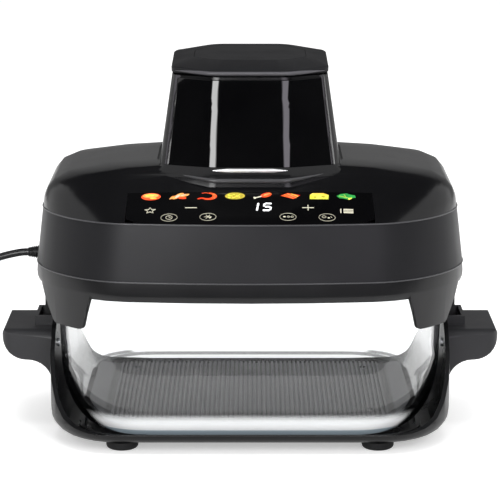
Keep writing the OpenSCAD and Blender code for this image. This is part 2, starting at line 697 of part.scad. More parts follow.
module lamp_end_caps() {
    color("#e6e1d6") translate([0, 0, lamp_z - 7]) for (s = [0, 1]) mirror([s, 0, 0]) rotate([0, 0, lamp_gap - 90])
        translate([lamp_ring_r - 8, -11, 0]) cube([16, 11, pan_roof_z - lamp_z + 7]);
}

module lamp_hangers() {
    color("#9da1a6") for (a = [0, 90, 180]) rotate([0, 0, a]) rotate([90, 0, 0]) translate([lamp_ring_r, lamp_z, -4])
        linear_extrude(8) difference() {
            translate([-lamp_r - 1.1, -lamp_r - 1.1]) square([2 * lamp_r + 2.2, pan_roof_z - lamp_z + lamp_r + 1.1]);
            translate([-lamp_r - clear, -lamp_r - clear]) square([2 * lamp_r + 2 * clear, 60]);
        }
}

module temperature_probe() {
    color("#c4c7ca") translate([probe_x, probe_y, 0]) {
        bored(pan_roof_z - 24, 27, 2);
        bored(pan_roof_z + sheet_t, 2, 6);
    }
}

module thermal_cutout() {
    color("#d8d4c8") translate([88, 55, 0]) {
        bored(pan_roof_z + sheet_t, 1, 12);
        bored(pan_roof_z + sheet_t, 4.4, 8);
    }
}

module heat_shield() {
    color("#cfcabd") difference() {
        union() {
            translate([0, 0, shield_z]) linear_extrude(shield_t) polygon(oblong(pan_hw + 12, pan_hd + 8, 56));
            for (x = [20 - pan_hw, 0, pan_hw - 20], y = [22 - pan_hd, pan_hd - 22]) translate([x, y, 0])
                bored(pan_roof_z + sheet_t, shield_z - pan_roof_z - sheet_t + 0.5, 5);
        }
        bored(shield_z - 1, 5, shaft_r + 5);
    }
}

// Motor with its bracket, coil and bushes
module motor_bracket() {
    leg = bracket_z - shield_z - shield_t;
    color("#a9adb2") difference() {
        union() {
            translate([-66, -15, bracket_z]) cube([132, 30, bracket_t]);
            for (s = [-1, 1]) translate([s * 59 - 7, -15, shield_z + shield_t]) {
                cube([14, 30, 1.5]);
                translate([7 - s * 3 - 1, 0, 0]) cube([2, 30, leg + 0.5]);
            }
        }
        bored(bracket_z - 1, 5, shaft_r + 5);
    }
}

module motor_core() {
    low = bracket_z + bracket_t;
    color("#7a7d82") difference() {
        union() {
            translate([-motor_hw, -24, motor_z]) cube([2 * motor_hw, 48, motor_h]);
            bored(motor_z - 6, motor_h + 14, 15);
            for (x = [-motor_hw + 5, motor_hw - 5], y = [-11, 11]) translate([x, y, 0]) bored(low, motor_z - low + 1, 3);
        }
        bored(low, 80, shaft_r + 3);
    }
}

module motor_coil() {
    color("#a8592b") translate([-15, 24, motor_z + 2]) cube([30, 16, motor_h - 4]);
}

module motor_bushes() {
    color("#b08a4a") for (z = [motor_z - 6, motor_z + motor_h + 2]) difference() {
        bored(z, 6, shaft_r + 3);
        bored(z - 1, 8, shaft_r + 0.15);
    }
}

module power_board() {
    base = shield_z + shield_t;
    color("#2a6b45") translate([-pan_hw, 0, base]) {
        translate([0, -42, 8]) cube([66, 84, 1.6]);
        for (x = [5, 61], y = [-37, 37]) translate([x, y, 0]) bored(0, 8.5, 3);
        translate([4, -34, 9]) cube([20, 16, 15]);
        translate([30, -36, 9]) cube([26, 24, 16]);
        translate([4, -8, 9]) cube([24, 12, 11]);
        for (y = [12, 30]) translate([16, y, 0]) bored(9, 13, 6);
        translate([38, 4, 9]) cube([20, 4, 18]);
    }
}

module micro_switch() {
    color("#202022") {
        translate([-post_x + plunger_r + 1, -10, flange_z + flange_t]) cube([12, 20, 14]);
        // The lever over the plunger
        translate([-post_x - 1.5, -3, plunger_top + clear]) cube([plunger_r + 4, 6, 1]);
    }
}

// Compression spring round the plunger, one helix of round wire with a ring every 45 degrees
module plunger_spring() {
    low = collar_z + 2.5 + spring_wire_r;
    high = spring_top_z - spring_wire_r;
    rings = [for (i = [0:8 * spring_turns]) let (a = i * 45, t = i / (8 * spring_turns))
        [for (k = [0:5]) let (r = spring_r + spring_wire_r * cos(-60 * k), x = -post_x + r * cos(a), y = r * sin(a))
            [x, y, mix(low, high, t) + spring_wire_r * sin(-60 * k)]]];
    color("#b5b8bc") loft(rings);
}

plunger_top = flange_z + flange_t + 3.4;
module interlock_plunger() {
    color("#d9d9d6") translate([-post_x, 0, 0]) {
        bored(socket_floor + 0.4, plunger_top - socket_floor - 0.4, plunger_r);
        bored(collar_z, 2, spring_r + spring_wire_r - 0.1);
    }
}

// Fans: curved blades under a disc
module blade_ring(count, r0, r1, high, sweep, thick) {
    for (i = [0:count - 1]) rotate([0, 0, i * 360 / count]) linear_extrude(high)
        polygon(concat([for (k = [0:6]) let (r = mix(r0, r1, k / 6), a = sweep * pow(k / 6, 1.3)) [r * cos(a), r * sin(a)]],
            [for (k = [6:-1:0]) let (r = mix(r0, r1, k / 6), a = sweep * pow(k / 6, 1.3) + thick / r * 57.3) [r * cos(a), r * sin(a)]]));
}

module hot_air_fan() {
    color("#b4b7bb") translate([0, 0, fan_air_z]) difference() {
        union() {
            bored(10, 1.2, fan_r);
            bored(0, 14, shaft_r + 4);
            translate([0, 0, -1]) blade_ring(fan_blades, shaft_r + 12, fan_r - 2, 11.5, 34, 1.2);
        }
        bored(-2, 20, shaft_r);
    }
}

module cooling_fan() {
    color("#d7d8d2") translate([0, 0, cool_z]) difference() {
        union() {
            bored(0, 1.5, cool_r);
            bored(0, 10, shaft_r + 4);
            blade_ring(cool_blades, shaft_r + 12, cool_r - 1, 11, 28, 1.4);
        }
        bored(-2, 20, shaft_r);
    }
}

module motor_shaft() {
    color("#c9ccd0") bored(fan_air_z - 2, motor_z + motor_h + 12 - fan_air_z, shaft_r);
}

// Mains cord: strain relief, free stretch, coil, plug and tie
cord_r = cord_d / 2;
relief_hole_r = cord_r + 1.3;
relief_tip = -lid_hw - 15;
module strain_relief() {
    color("#161617") translate([0, relief_y, relief_z]) rotate([0, -90, 0]) rotate_extrude($fn = 48)
        polygon([[0, lid_hw - 10], [relief_hole_r + 0.7, lid_hw - 10], [relief_hole_r + 0.7, lid_hw - lid_wall - 3.8],
            [relief_hole_r - clear, lid_hw - lid_wall - 3.8], [relief_hole_r - clear, lid_hw + 1.2],
            [6.4, lid_hw + 1.2], [6.2, lid_hw + 4], [cord_r + 0.8, -relief_tip], [0, -relief_tip]]);
}

coil_turns = 2;
coil_x = -lid_hw - 132;
coil_y = 78;
coil_r = 42;
coil_z = cord_r + 1.6;
step = cord_d + coil_gap;
route = [[relief_tip, relief_y, relief_z], [-203, 32, relief_z - 0.6], [-218, 32, relief_z - 4], [-234, 32, 129],
    [-249, 32, 119], [-261, 33, 104], [-268, 34, 84], [-271, 35, 60], [-275, 35, 37], [-283, 36, 18], [-297, 36, 7],
    [coil_x + 4, coil_y - coil_r, coil_z], [coil_x, coil_y - coil_r, coil_z]];

// A tube of round section through points, its first and last rings square to given directions
function flow(pts, i) = unit(pts[min(i + 1, len(pts) - 1)] - pts[max(i - 1, 0)]);
function tube_rings(pts, r, sides, first, last) = [for (i = [0:len(pts) - 1])
    let (t = i == 0 ? first : i == len(pts) - 1 ? last : flow(pts, i), u = unit(cross(t, [0.05, 0.3, -1] * norm([t[0], t[1]]) + [0, 1, 0] * abs(t[2]))),
        w = cross(t, u)) [for (k = [0:sides - 1]) let (a = -360 * (k + 0.5) / sides) pts[i] + r * (u * cos(a) + w * sin(a))]];
function spline(p, i, t) = let (a = p[max(i - 1, 0)], b = p[i], c = p[i + 1], d = p[min(i + 2, len(p) - 1)])
    0.5 * (2 * b + (c - a) * t + (2 * a - 5 * b + 4 * c - d) * t * t + (3 * b - a - 3 * c + d) * t * t * t);

module mains_cord() {
    pts = concat([for (i = [0:len(route) - 2], t = [0, 0.5]) spline(route, i, t)], [route[len(route) - 1]]);
    color("#18181a") loft(tube_rings(pts, cord_r, 8, [-1, 0, 0], [-1, 0, 0]));
}

// The coil winds in on the table layer, climbs in the half turn where it reverses, and winds out above
function coil_point(a) =
    let (n = 360 * coil_turns, half = 180, mid = n + half / 2, rate = step / 360,
        r = coil_r - rate * (a < mid ? a : 2 * mid - a), z = coil_z + step * min(1, max(0, (a - n) / half)), q = -90 - a)
    [coil_x + r * cos(q), coil_y + r * sin(q), z];
coil_end = 720 * coil_turns + 180;
coil_points = [for (a = [0:15:coil_end]) coil_point(a)];
coil_out = unit([-sin(-90 - coil_end), cos(-90 - coil_end), 0]) * -1;
coil_tail = coil_points[len(coil_points) - 1] + coil_out * 18;
least_gap = min([for (i = [0:2:len(coil_points) - 1], j = [i + 12:len(coil_points) - 1])
    norm(coil_points[i] - coil_points[j])]) - cord_d;
echo(least_gap_of_the_coil = least_gap);

module cord_coil() {
    pts = concat(coil_points, [coil_tail]);
    color("#18181a") loft(tube_rings(pts, cord_r, 6, [-1, 0, 0], coil_out));
}

// Moulded plug with two flat blades and a round earth pin, lying beside the coil
module at_tail() {
    translate(coil_tail) rotate([0, 0, atan2(coil_out[1], coil_out[0])]) children();
}

module mains_plug() {
    color("#18181a") at_tail() {
        rotate([0, 90, 0]) cylinder(h = 14, r1 = cord_r + 0.8, r2 = cord_r + 2, $fn = 32);
        translate([12, -13, -coil_tail[2]]) cube([26, 26, 23]);
    }
}

module plug_pins() {
    color("#c9b27a") at_tail() {
        for (y = [-7.2, 5.6]) translate([38, y, 2]) cube([16, 1.6, 6.4]);
        translate([38, 0, 4 - coil_tail[2]]) rotate([0, 90, 0]) cylinder(h = 18, r = 2.2, $fn = 32);
    }
}

module cord_tie() {
    inner = coil_r - step * (coil_turns + 0.25) - cord_r - 0.5;
    outer = coil_r + cord_r + 0.5;
    high = step + cord_d + 1;
    color("#101011") translate([coil_x, coil_y, coil_z - cord_r - 0.5]) rotate([0, 0, 90]) rotate([90, 0, 0])
        translate([0, 0, -3]) linear_extrude(6) difference() {
            translate([inner - 1, -1]) square([outer - inner + 2, high + 2]);
            translate([inner, 0]) square([outer - inner, high]);
        }
}

cradle();
left_handle();
right_handle();
handle_screws();
bowl_pads();
foot_front_left();
foot_front_right();
foot_rear_left();
foot_rear_right();
foot_screws();
glass_bowl();
crisper_plate();
plate_bumpers();
lid_skirt();
left_post();
right_post();
lid_housing();
top_cover();
tower_shell();
tower_front_panel();
tower_cap();
cap_inlay();
touch_panel();
touch_board();
display_module();
heater_pan();
pan_screws();
bowl_seal();
heater_guard();
halogen_tube();
lamp_filament();
lamp_end_caps();
lamp_hangers();
temperature_probe();
thermal_cutout();
heat_shield();
motor_bracket();
motor_core();
motor_coil();
motor_bushes();
power_board();
micro_switch();
plunger_spring();
hot_air_fan();
cooling_fan();
motor_shaft();
interlock_plunger();
strain_relief();
mains_cord();
cord_coil();
mains_plug();
plug_pins();
cord_tie();
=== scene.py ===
import json
import math
import random
import bpy
from mathutils import Matrix, Vector


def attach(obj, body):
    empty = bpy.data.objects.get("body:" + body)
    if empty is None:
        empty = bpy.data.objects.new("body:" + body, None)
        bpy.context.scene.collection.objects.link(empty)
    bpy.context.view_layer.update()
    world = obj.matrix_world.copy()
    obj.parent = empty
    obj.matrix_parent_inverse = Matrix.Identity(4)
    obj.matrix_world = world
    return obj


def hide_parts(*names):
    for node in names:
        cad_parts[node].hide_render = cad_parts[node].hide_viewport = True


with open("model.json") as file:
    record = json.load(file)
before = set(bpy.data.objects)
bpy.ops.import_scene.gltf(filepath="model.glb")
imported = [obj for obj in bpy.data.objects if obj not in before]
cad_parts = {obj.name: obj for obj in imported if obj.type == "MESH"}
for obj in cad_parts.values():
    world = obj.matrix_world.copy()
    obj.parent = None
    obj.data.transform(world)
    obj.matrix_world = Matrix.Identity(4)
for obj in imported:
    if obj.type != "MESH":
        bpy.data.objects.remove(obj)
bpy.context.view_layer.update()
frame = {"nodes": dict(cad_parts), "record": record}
nodes = frame["nodes"]
mm = 0.001


# camera, floor and light

camera = {"place": (0, -1.921, 0.570), "pitch": 12.4, "lens": 163.44}
bpy.ops.object.select_all(action="DESELECT")
bpy.ops.object.camera_add(location=camera["place"], rotation=(math.radians(90 - camera["pitch"]), 0, 0))
cameraEye = bpy.context.object
cameraEye.name = "cameraEye"
cameraEye.data.lens = camera["lens"]
cameraEye.data.sensor_width = 36
cameraEye.data.dof.use_dof = False
bpy.context.scene.camera = cameraEye
bpy.context.scene.view_settings.view_transform = "Standard"
print("camera set")

studio = {"floorSize": 14, "floorTone": (0.93, 0.93, 0.93), "floorGlow": 0.42, "ambient": 0.62, "background": 1.0}


def linkNodes(tree, *pairs):
    for out, into in pairs:
        tree.links.new(out, into)


def band(tree, value, low, high):
    ranged = tree.nodes.new("ShaderNodeMapRange")
    ranged.interpolation_type = "SMOOTHSTEP"
    ranged.inputs["From Min"].default_value = low
    ranged.inputs["From Max"].default_value = high
    tree.links.new(value, ranged.inputs["Value"])
    return ranged.outputs[0]


def feed(tree, socket, given):
    if isinstance(given, (int, float)):
        socket.default_value = given
    else:
        tree.links.new(given, socket)


def timesNode(tree, first, *others):
    held = first
    for other in others:
        product = tree.nodes.new("ShaderNodeMath")
        product.operation = "MULTIPLY"
        tree.links.new(held, product.inputs[0])
        feed(tree, product.inputs[1], other)
        held = product.outputs[0]
    return held


def seenShare(tree):
    rays = tree.nodes.new("ShaderNodeLightPath")
    total = rays.outputs["Is Camera Ray"]
    for kind in ("Is Glossy Ray", "Is Transmission Ray"):
        more = tree.nodes.new("ShaderNodeMath")
        more.operation = "ADD"
        more.use_clamp = True
        linkNodes(tree, (total, more.inputs[0]), (rays.outputs[kind], more.inputs[1]))
        total = more.outputs[0]
    return total


def flatMaterial(name, color, rough, shine):
    material = bpy.data.materials.new(name)
    material.use_nodes = True
    tree = material.node_tree
    body = tree.nodes["Principled BSDF"]
    body.inputs["Base Color"].default_value = (*color, 1)
    body.inputs["Roughness"].default_value = rough
    body.inputs["Specular IOR Level"].default_value = shine
    body.inputs["Emission Color"].default_value = (1, 1, 1, 1)
    return material, tree, body


def buildWorld(spec):
    world = bpy.data.worlds.new("studioAir")
    bpy.context.scene.world = world
    world.use_nodes = True
    tree = world.node_tree
    background = tree.nodes["Background"]
    background.inputs["Color"].default_value = (1, 1, 1, 1)
    level = tree.nodes.new("ShaderNodeMapRange")
    level.inputs["To Min"].default_value = spec["ambient"]
    level.inputs["To Max"].default_value = spec["background"]
    linkNodes(tree, (seenShare(tree), level.inputs["Value"]), (level.outputs[0], background.inputs["Strength"]))


def buildFloor(spec):
    bpy.ops.mesh.primitive_grid_add(x_subdivisions=8, y_subdivisions=8, size=spec["floorSize"], location=(0, 2, 0))
    floor = bpy.context.object
    floor.name = "paleFloor"
    paper, tree, body = flatMaterial("paleFloor", spec["floorTone"], 0.9, 0.1)
    tree.links.new(timesNode(tree, seenShare(tree), spec["floorGlow"]), body.inputs["Emission Strength"])
    floor.data.materials.append(paper)


softboxes = {
    "keyBox": {"place": (-0.8, -1.75, 1.1), "aim": (0, 0, 0.2), "size": (0.9, 1.2), "power": 8},
    "fillBox": {"place": (0.9, -1.75, 1.1), "aim": (0, 0, 0.2), "size": (0.9, 1.2), "power": 17},
    "topBox": {"place": (0, -0.5, 2.2), "aim": (0, 0, 0.15), "size": (1.4, 0.8), "power": 16},
    "backBox": {"place": (0.3, 2.0, 1.6), "aim": (0, 0, 0.15), "size": (1.8, 1.0), "power": 12},
}


def buildLights(spec):
    for name, one in spec.items():
        place, aim = Vector(one["place"]), Vector(one["aim"])
        bpy.ops.object.light_add(type="AREA", location=place)
        lamp = bpy.context.object
        lamp.name = name
        lamp.rotation_euler = (aim - place).to_track_quat("-Z", "Y").to_euler()
        lamp.data.shape = "RECTANGLE"
        lamp.data.size, lamp.data.size_y = one["size"]
        lamp.data.energy = one["power"]
        lamp.visible_glossy = False


# cards that only reflections see: dark ones keep the black gloss black, bright ones give the tower its streaks
darkCards = {
    "frontCard": {"place": (0, -3.4, 1.6), "size": (15, 5.2), "tilt": 90},
    "lowCard": {"place": (0, -1.85, 0.003), "size": (11, 3.1), "tilt": 0},
    "highCard": {"place": (0, 0.72, 2.5), "size": (2.6, 2.8), "tilt": 128},
    "backCard": {"place": (0, 2.6, 1.05), "size": (5.0, 2.6), "tilt": 90, "lift": 0.27},
}
brightCards = {
    "leftStrip": {"place": (-0.38, -0.95, 0.43), "size": (0.6, 0.44), "glow": 13, "tone": (1, 1, 1, 1)},
    "rightStrip": {"place": (0.38, -0.95, 0.43), "size": (0.6, 0.44), "glow": 4.2, "tone": (0.95, 0.9, 1, 1)},
}


def buildCard(name, spec):
    bpy.ops.mesh.primitive_grid_add(x_subdivisions=2, y_subdivisions=2, size=1, location=spec["place"],
                                    rotation=(math.radians(spec.get("tilt", 90)), 0, 0))
    card = bpy.context.object
    card.name = name
    card.scale = (*spec["size"], 1)
    felt, tree, body = flatMaterial(name, (0.012, 0.012, 0.013), 1, 0)
    body.inputs["Emission Strength"].default_value = spec.get("lift", 0)
    if "glow" in spec:
        place = tree.nodes.new("ShaderNodeTexCoord")
        apart = tree.nodes.new("ShaderNodeSeparateXYZ")
        side = tree.nodes.new("ShaderNodeMath")
        side.operation = "ABSOLUTE"
        linkNodes(tree, (place.outputs["Object"], apart.inputs[0]), (apart.outputs["X"], side.inputs[0]))
        glow = timesNode(tree, band(tree, side.outputs[0], 0.5, 0.3), spec["glow"])
        tree.links.new(glow, body.inputs["Emission Strength"])
        body.inputs["Emission Color"].default_value = spec["tone"]
    card.data.materials.append(felt)
    card.visible_camera = False
    card.visible_diffuse = False
    card.visible_shadow = False
    card.visible_transmission = False


buildWorld(studio)
buildFloor(studio)
buildLights(softboxes)
for cardName, cardSpec in {**darkCards, **brightCards}.items():
    buildCard(cardName, cardSpec)
print("studio set")


# materials: shared groups first, then one finish for each slot


def newGroup(name, ins, outs):
    group = bpy.data.node_groups.new(name, "ShaderNodeTree")
    for socketName, kind, value in ins:
        socket = group.interface.new_socket(socketName, in_out="INPUT", socket_type=kind)
        socket.default_value = value
    for socketName, kind in outs:
        group.interface.new_socket(socketName, in_out="OUTPUT", socket_type=kind)
    return group, group.nodes.new("NodeGroupInput"), group.nodes.new("NodeGroupOutput")


def noiseNode(group, vector, scale, detail, rough):
    noise = group.nodes.new("ShaderNodeTexNoise")
    noise.inputs["Detail"].default_value = detail
    noise.inputs["Roughness"].default_value = rough
    group.links.new(vector, noise.inputs["Vector"])
    feed(group, noise.inputs["Scale"], scale)
    return noise.outputs["Fac"]


def mapNode(group, value, low, high):
    ranged = group.nodes.new("ShaderNodeMapRange")
    ranged.inputs["From Min"].default_value = 0.3
    ranged.inputs["From Max"].default_value = 0.7
    feed(group, ranged.inputs["To Min"], low)
    feed(group, ranged.inputs["To Max"], high)
    group.links.new(value, ranged.inputs["Value"])
    return ranged.outputs[0]


def buildSurfaceGroup():
    group, given, out = newGroup(
        "surfaceGrain",
        [("Vector", "NodeSocketVector", (0, 0, 0)), ("Color", "NodeSocketColor", (0.5, 0.5, 0.5, 1)),
         ("Other Color", "NodeSocketColor", (0.5, 0.5, 0.5, 1)), ("Grain Scale", "NodeSocketFloat", 2000.0),
         ("Rough Low", "NodeSocketFloat", 0.3), ("Rough High", "NodeSocketFloat", 0.5)],
        [("Color", "NodeSocketColor"), ("Roughness", "NodeSocketFloat"), ("Height", "NodeSocketFloat")])
    grain = noiseNode(group, given.outputs["Vector"], given.outputs["Grain Scale"], 2.0, 0.6)
    handling = noiseNode(group, given.outputs["Vector"], 34.0, 5.0, 0.62)
    patches = noiseNode(group, given.outputs["Vector"], 9.0, 3.0, 0.5)
    mix = group.nodes.new("ShaderNodeMix")
    mix.data_type = "RGBA"
    roughness = mapNode(group, handling, given.outputs["Rough Low"], given.outputs["Rough High"])
    linkNodes(group, (mapNode(group, patches, 0.0, 1.0), mix.inputs["Factor"]),
              (given.outputs["Color"], mix.inputs["A"]), (given.outputs["Other Color"], mix.inputs["B"]),
              (mix.outputs["Result"], out.inputs["Color"]),
              (roughness, out.inputs["Roughness"]), (grain, out.inputs["Height"]))
    return group


surfaceGroup = buildSurfaceGroup()


def finish(name, color, rough, other=None, grain=2200, depth=0.0001, bump=0.1, stretch=(1, 1, 1), **sockets):
    material = bpy.data.materials.new(name)
    material.use_nodes = True
    tree = material.node_tree
    body = tree.nodes["Principled BSDF"]
    place = tree.nodes.new("ShaderNodeTexCoord")
    mapping = tree.nodes.new("ShaderNodeMapping")
    mapping.inputs["Scale"].default_value = stretch
    surface = tree.nodes.new("ShaderNodeGroup")
    surface.node_tree = surfaceGroup
    surface.inputs["Color"].default_value = (*color, 1)
    surface.inputs["Other Color"].default_value = (*(other or [c * 1.25 + 0.002 for c in color]), 1)
    surface.inputs["Grain Scale"].default_value = grain
    surface.inputs["Rough Low"].default_value = rough[0]
    surface.inputs["Rough High"].default_value = rough[1]
    height = tree.nodes.new("ShaderNodeBump")
    height.inputs["Strength"].default_value = bump
    height.inputs["Distance"].default_value = depth
    linkNodes(tree, (place.outputs["Object"], mapping.inputs["Vector"]),
              (mapping.outputs[0], surface.inputs["Vector"]),
              (surface.outputs["Color"], body.inputs["Base Color"]),
              (surface.outputs["Roughness"], body.inputs["Roughness"]),
              (surface.outputs["Height"], height.inputs["Height"]), (height.outputs["Normal"], body.inputs["Normal"]))
    for socket, value in sockets.items():
        body.inputs[socket.replace("_", " ")].default_value = value
    return material


# painted light on the glass bowl: a pale glowing layer over its lower front stands in for the bright light seen
# through the glass foot, bluish towards the rim, and a painted dark line marks its far edge as shade; by height and
# depth in metres
bowlPaintedLight = {
    "low": (0.034, 0.023), "outer": (-0.092, -0.101), "share": 0.8,
    "rim": (0.0172, 0.0188), "rimTone": (0.36, 0.44, 0.5, 1), "paleTone": (0.94, 0.95, 0.96, 1), "glow": 0.34,
    "lineBands": (("Z", 0.0254, 0.0264), ("Z", 0.0292, 0.0278), ("Y", 0.01, 0.05), ("Y", 0.1115, 0.1085)),
    "lineShare": 0.7, "lineTone": (0.11, 0.12, 0.125, 1),
}


# lays the painted glow and the painted dark edge line over the glass
def paintedLightOnGlass(tree, glass, spec):
    place = tree.nodes.new("ShaderNodeTexCoord")
    apart = tree.nodes.new("ShaderNodeSeparateXYZ")
    pale = tree.nodes.new("ShaderNodeBsdfPrincipled")
    pale.inputs["Roughness"].default_value = 0.35
    pale.inputs["Emission Strength"].default_value = spec["glow"]
    tone = tree.nodes.new("ShaderNodeMix")
    tone.data_type = "RGBA"
    tone.inputs["A"].default_value = spec["rimTone"]
    tone.inputs["B"].default_value = spec["paleTone"]
    lower = tree.nodes.new("ShaderNodeMixShader")
    lined = tree.nodes.new("ShaderNodeMixShader")
    dim = tree.nodes.new("ShaderNodeBsdfDiffuse")
    dim.inputs["Color"].default_value = spec["lineTone"]
    tree.links.new(place.outputs["Object"], apart.inputs[0])
    amount = timesNode(tree, band(tree, apart.outputs["Z"], *spec["low"]),
                       band(tree, apart.outputs["Y"], *spec["outer"]), spec["share"])
    bands = [band(tree, apart.outputs[axis], low, high) for axis, low, high in spec["lineBands"]]
    line = timesNode(tree, *bands, spec["lineShare"])
    linkNodes(tree, (band(tree, apart.outputs["Z"], *spec["rim"]), tone.inputs["Factor"]),
              (tone.outputs["Result"], pale.inputs["Base Color"]),
              (tone.outputs["Result"], pale.inputs["Emission Color"]),
              (amount, lower.inputs["Fac"]), (glass, lower.inputs[1]), (pale.outputs[0], lower.inputs[2]),
              (line, lined.inputs["Fac"]), (lower.outputs[0], lined.inputs[1]), (dim.outputs[0], lined.inputs[2]))
    return lined.outputs[0]


def clearFinish(name, color, ior, tint=1.0, foot=None):
    material = finish(name, color, (0.0, 0.02), other=[c * tint for c in color], grain=60, depth=0.0002, bump=0.03,
                      Transmission_Weight=1.0, IOR=ior)
    tree = material.node_tree
    glass = tree.nodes["Principled BSDF"].outputs[0]
    # foot carries the painted glow and the painted edge shade of the bowl's glass
    if foot:
        glass = paintedLightOnGlass(tree, glass, foot)
    rays = tree.nodes.new("ShaderNodeLightPath")
    soft = tree.nodes.new("ShaderNodeMath")
    soft.operation = "MAXIMUM"
    clear = tree.nodes.new("ShaderNodeBsdfTransparent")
    clear.inputs["Color"].default_value = (0.97, 0.985, 0.98, 1)
    mix = tree.nodes.new("ShaderNodeMixShader")
    linkNodes(tree, (rays.outputs["Is Shadow Ray"], soft.inputs[0]), (rays.outputs["Is Diffuse Ray"], soft.inputs[1]),
              (soft.outputs[0], mix.inputs["Fac"]), (glass, mix.inputs[1]), (clear.outputs[0], mix.inputs[2]),
              (mix.outputs[0], tree.nodes["Material Output"].inputs["Surface"]))
    return material


slotLooks = {
    "moulded_black": ((0.008, 0.008, 0.0088), (0.3, 0.36), dict(grain=2600, bump=0.08, Specular_IOR_Level=0.28)),
    "housing_black": ((0.0155, 0.0155, 0.017), (0.34, 0.38), dict(grain=3200, bump=0.04, Specular_IOR_Level=0.1)),
    "panel_gloss": ((0.0015, 0.0015, 0.0018), (0.03, 0.05), dict(grain=40, bump=0.004, Specular_IOR_Level=0.5)),
    "cap_grey": ((0.011, 0.011, 0.0122), (0.5, 0.58), dict(grain=2400, bump=0.1, Specular_IOR_Level=0.12)),
    "foot_rubber": ((0.006, 0.006, 0.0066), (0.55, 0.7), dict(grain=1500, bump=0.2, Specular_IOR_Level=0.2)),
    "silicone": ((0.06, 0.06, 0.063), (0.5, 0.65), dict(grain=1200, bump=0.1)),
    "screw_steel": ((0.5, 0.51, 0.53), (0.28, 0.42), dict(grain=900, Metallic=1.0)),
    "plate_coating": ((0.046, 0.046, 0.05), (0.4, 0.48),
                      dict(other=(0.06, 0.06, 0.065), grain=1800, bump=0.15, Metallic=0.1, Specular_IOR_Level=0.2)),
    "heater_steel": ((0.62, 0.63, 0.65), (0.2, 0.34), dict(grain=500, bump=0.08, stretch=(1, 0.06, 1), Metallic=1.0)),
    "shield_sheet": ((0.66, 0.66, 0.65), (0.34, 0.48), dict(grain=420, stretch=(0.08, 1, 1), Metallic=1.0)),
    "filament_wire": ((0.38, 0.3, 0.2), (0.4, 0.55), dict(grain=4000, Metallic=1.0)),
    "ceramic": ((0.74, 0.71, 0.65), (0.6, 0.75), dict(grain=1600, bump=0.2)),
    "circuit_board": ((0.02, 0.13, 0.06), (0.3, 0.42), dict(other=(0.03, 0.2, 0.1), grain=700)),
    "display_black": ((0.012, 0.012, 0.014), (0.1, 0.18), dict(grain=600)),
    "core_steel": ((0.34, 0.35, 0.37), (0.35, 0.5), dict(grain=900, stretch=(0.1, 0.1, 2), Metallic=1.0)),
    "shaft_steel": ((0.66, 0.67, 0.69), (0.14, 0.24), dict(grain=1200, stretch=(1, 1, 0.1), Metallic=1.0)),
    "copper": ((0.62, 0.26, 0.1), (0.3, 0.42), dict(grain=1500, stretch=(0.1, 1, 2), Metallic=1.0)),
    "bronze": ((0.55, 0.36, 0.15), (0.3, 0.42), dict(grain=2400, Metallic=1.0)),
    "fan_aluminium": ((0.66, 0.67, 0.69), (0.22, 0.36), dict(grain=500, stretch=(1, 0.15, 1), Metallic=1.0)),
    "white_plastic": ((0.7, 0.7, 0.66), (0.35, 0.5), dict(grain=2200)),
    "switch_plastic": ((0.02, 0.02, 0.021), (0.4, 0.55), dict(grain=2200)),
    "cord_sheath": ((0.007, 0.007, 0.008), (0.22, 0.34), dict(grain=1800, bump=0.08, Specular_IOR_Level=0.35)),
    "plug_plastic": ((0.009, 0.009, 0.01), (0.32, 0.46), dict(grain=2400, bump=0.12, Specular_IOR_Level=0.3)),
    "pin_brass": ((0.78, 0.68, 0.42), (0.14, 0.26), dict(grain=1500, stretch=(0.1, 1, 1), Metallic=1.0)),
}
# looks for one piece each, where it differs from its slot; some are painted light: lit and shaded copies of the
# handle and cradle black, greys for seam highlights, the lip's sheen and the cap's lit band, and a bright strip for
# the ledge's reflection
variantLooks = {
    "topGloss": ((0.004, 0.004, 0.0046), (0.2, 0.24), dict(grain=3200, bump=0.02, Specular_IOR_Level=0.3)),
    "touchGloss": ((0.0015, 0.0015, 0.0018), (0.1, 0.13), dict(grain=40, bump=0.004, Specular_IOR_Level=0.08)),
    # painted light: the handles get a lighter copy and the cradle a darker copy of the same moulded black
    "handleGrey": ((0.0208, 0.0208, 0.0229), (0.4, 0.46), dict(grain=2400, bump=0.05, Specular_IOR_Level=0.3)),
    "cradleBlack": ((0.005, 0.005, 0.0055), (0.26, 0.32), dict(grain=2600, bump=0.06, Specular_IOR_Level=0.1)),
    # painted highlight: a lighter grey for the seam beads along the lid's seams
    "seamHighlightGrey": ((0.05, 0.05, 0.054), (0.28, 0.34), dict(grain=3000, bump=0.03, Specular_IOR_Level=0.5)),
    # painted sheen: grey for the lip on the glossy flare at the tower's foot
    "lipGrey": ((0.045, 0.045, 0.048), (0.2, 0.26), dict(grain=3000, bump=0.03, Specular_IOR_Level=0.5)),
    # painted light: a lighter grey for the cap's front band, lit from the front
    "bandGrey": ((0.075, 0.073, 0.08), (0.4, 0.46), dict(grain=2400, bump=0.05, Specular_IOR_Level=0.3)),
    # painted reflection: near-white metal for the strip that stands for the glossy ledge's reflection below the
    # tower's front
    "ledgeReflectionWhite": ((0.92, 0.92, 0.93), (0.22, 0.28), dict(grain=800, bump=0.01, Metallic=0.6)),
}
finishes = {name: finish(name, color, rough, **more) for name, (color, rough, more) in slotLooks.items()}
finishes["bowl_glass"] = clearFinish("bowl_glass", (0.985, 0.992, 0.995), 1.47, 0.998, foot=bowlPaintedLight)
finishes["quartz"] = clearFinish("quartz", (0.96, 0.96, 0.95), 1.45)
variants = {name: finish(name, color, rough, **more) for name, (color, rough, more) in variantLooks.items()}

slotOf = {part["node"]: part["material_slot"] for part in frame["record"]["subparts"]}
for nodeName, nodeObject in nodes.items():
    for holder in nodeObject.material_slots:
        holder.material = finishes[slotOf[nodeName]]
print("finishes made")


# helpers for modelling


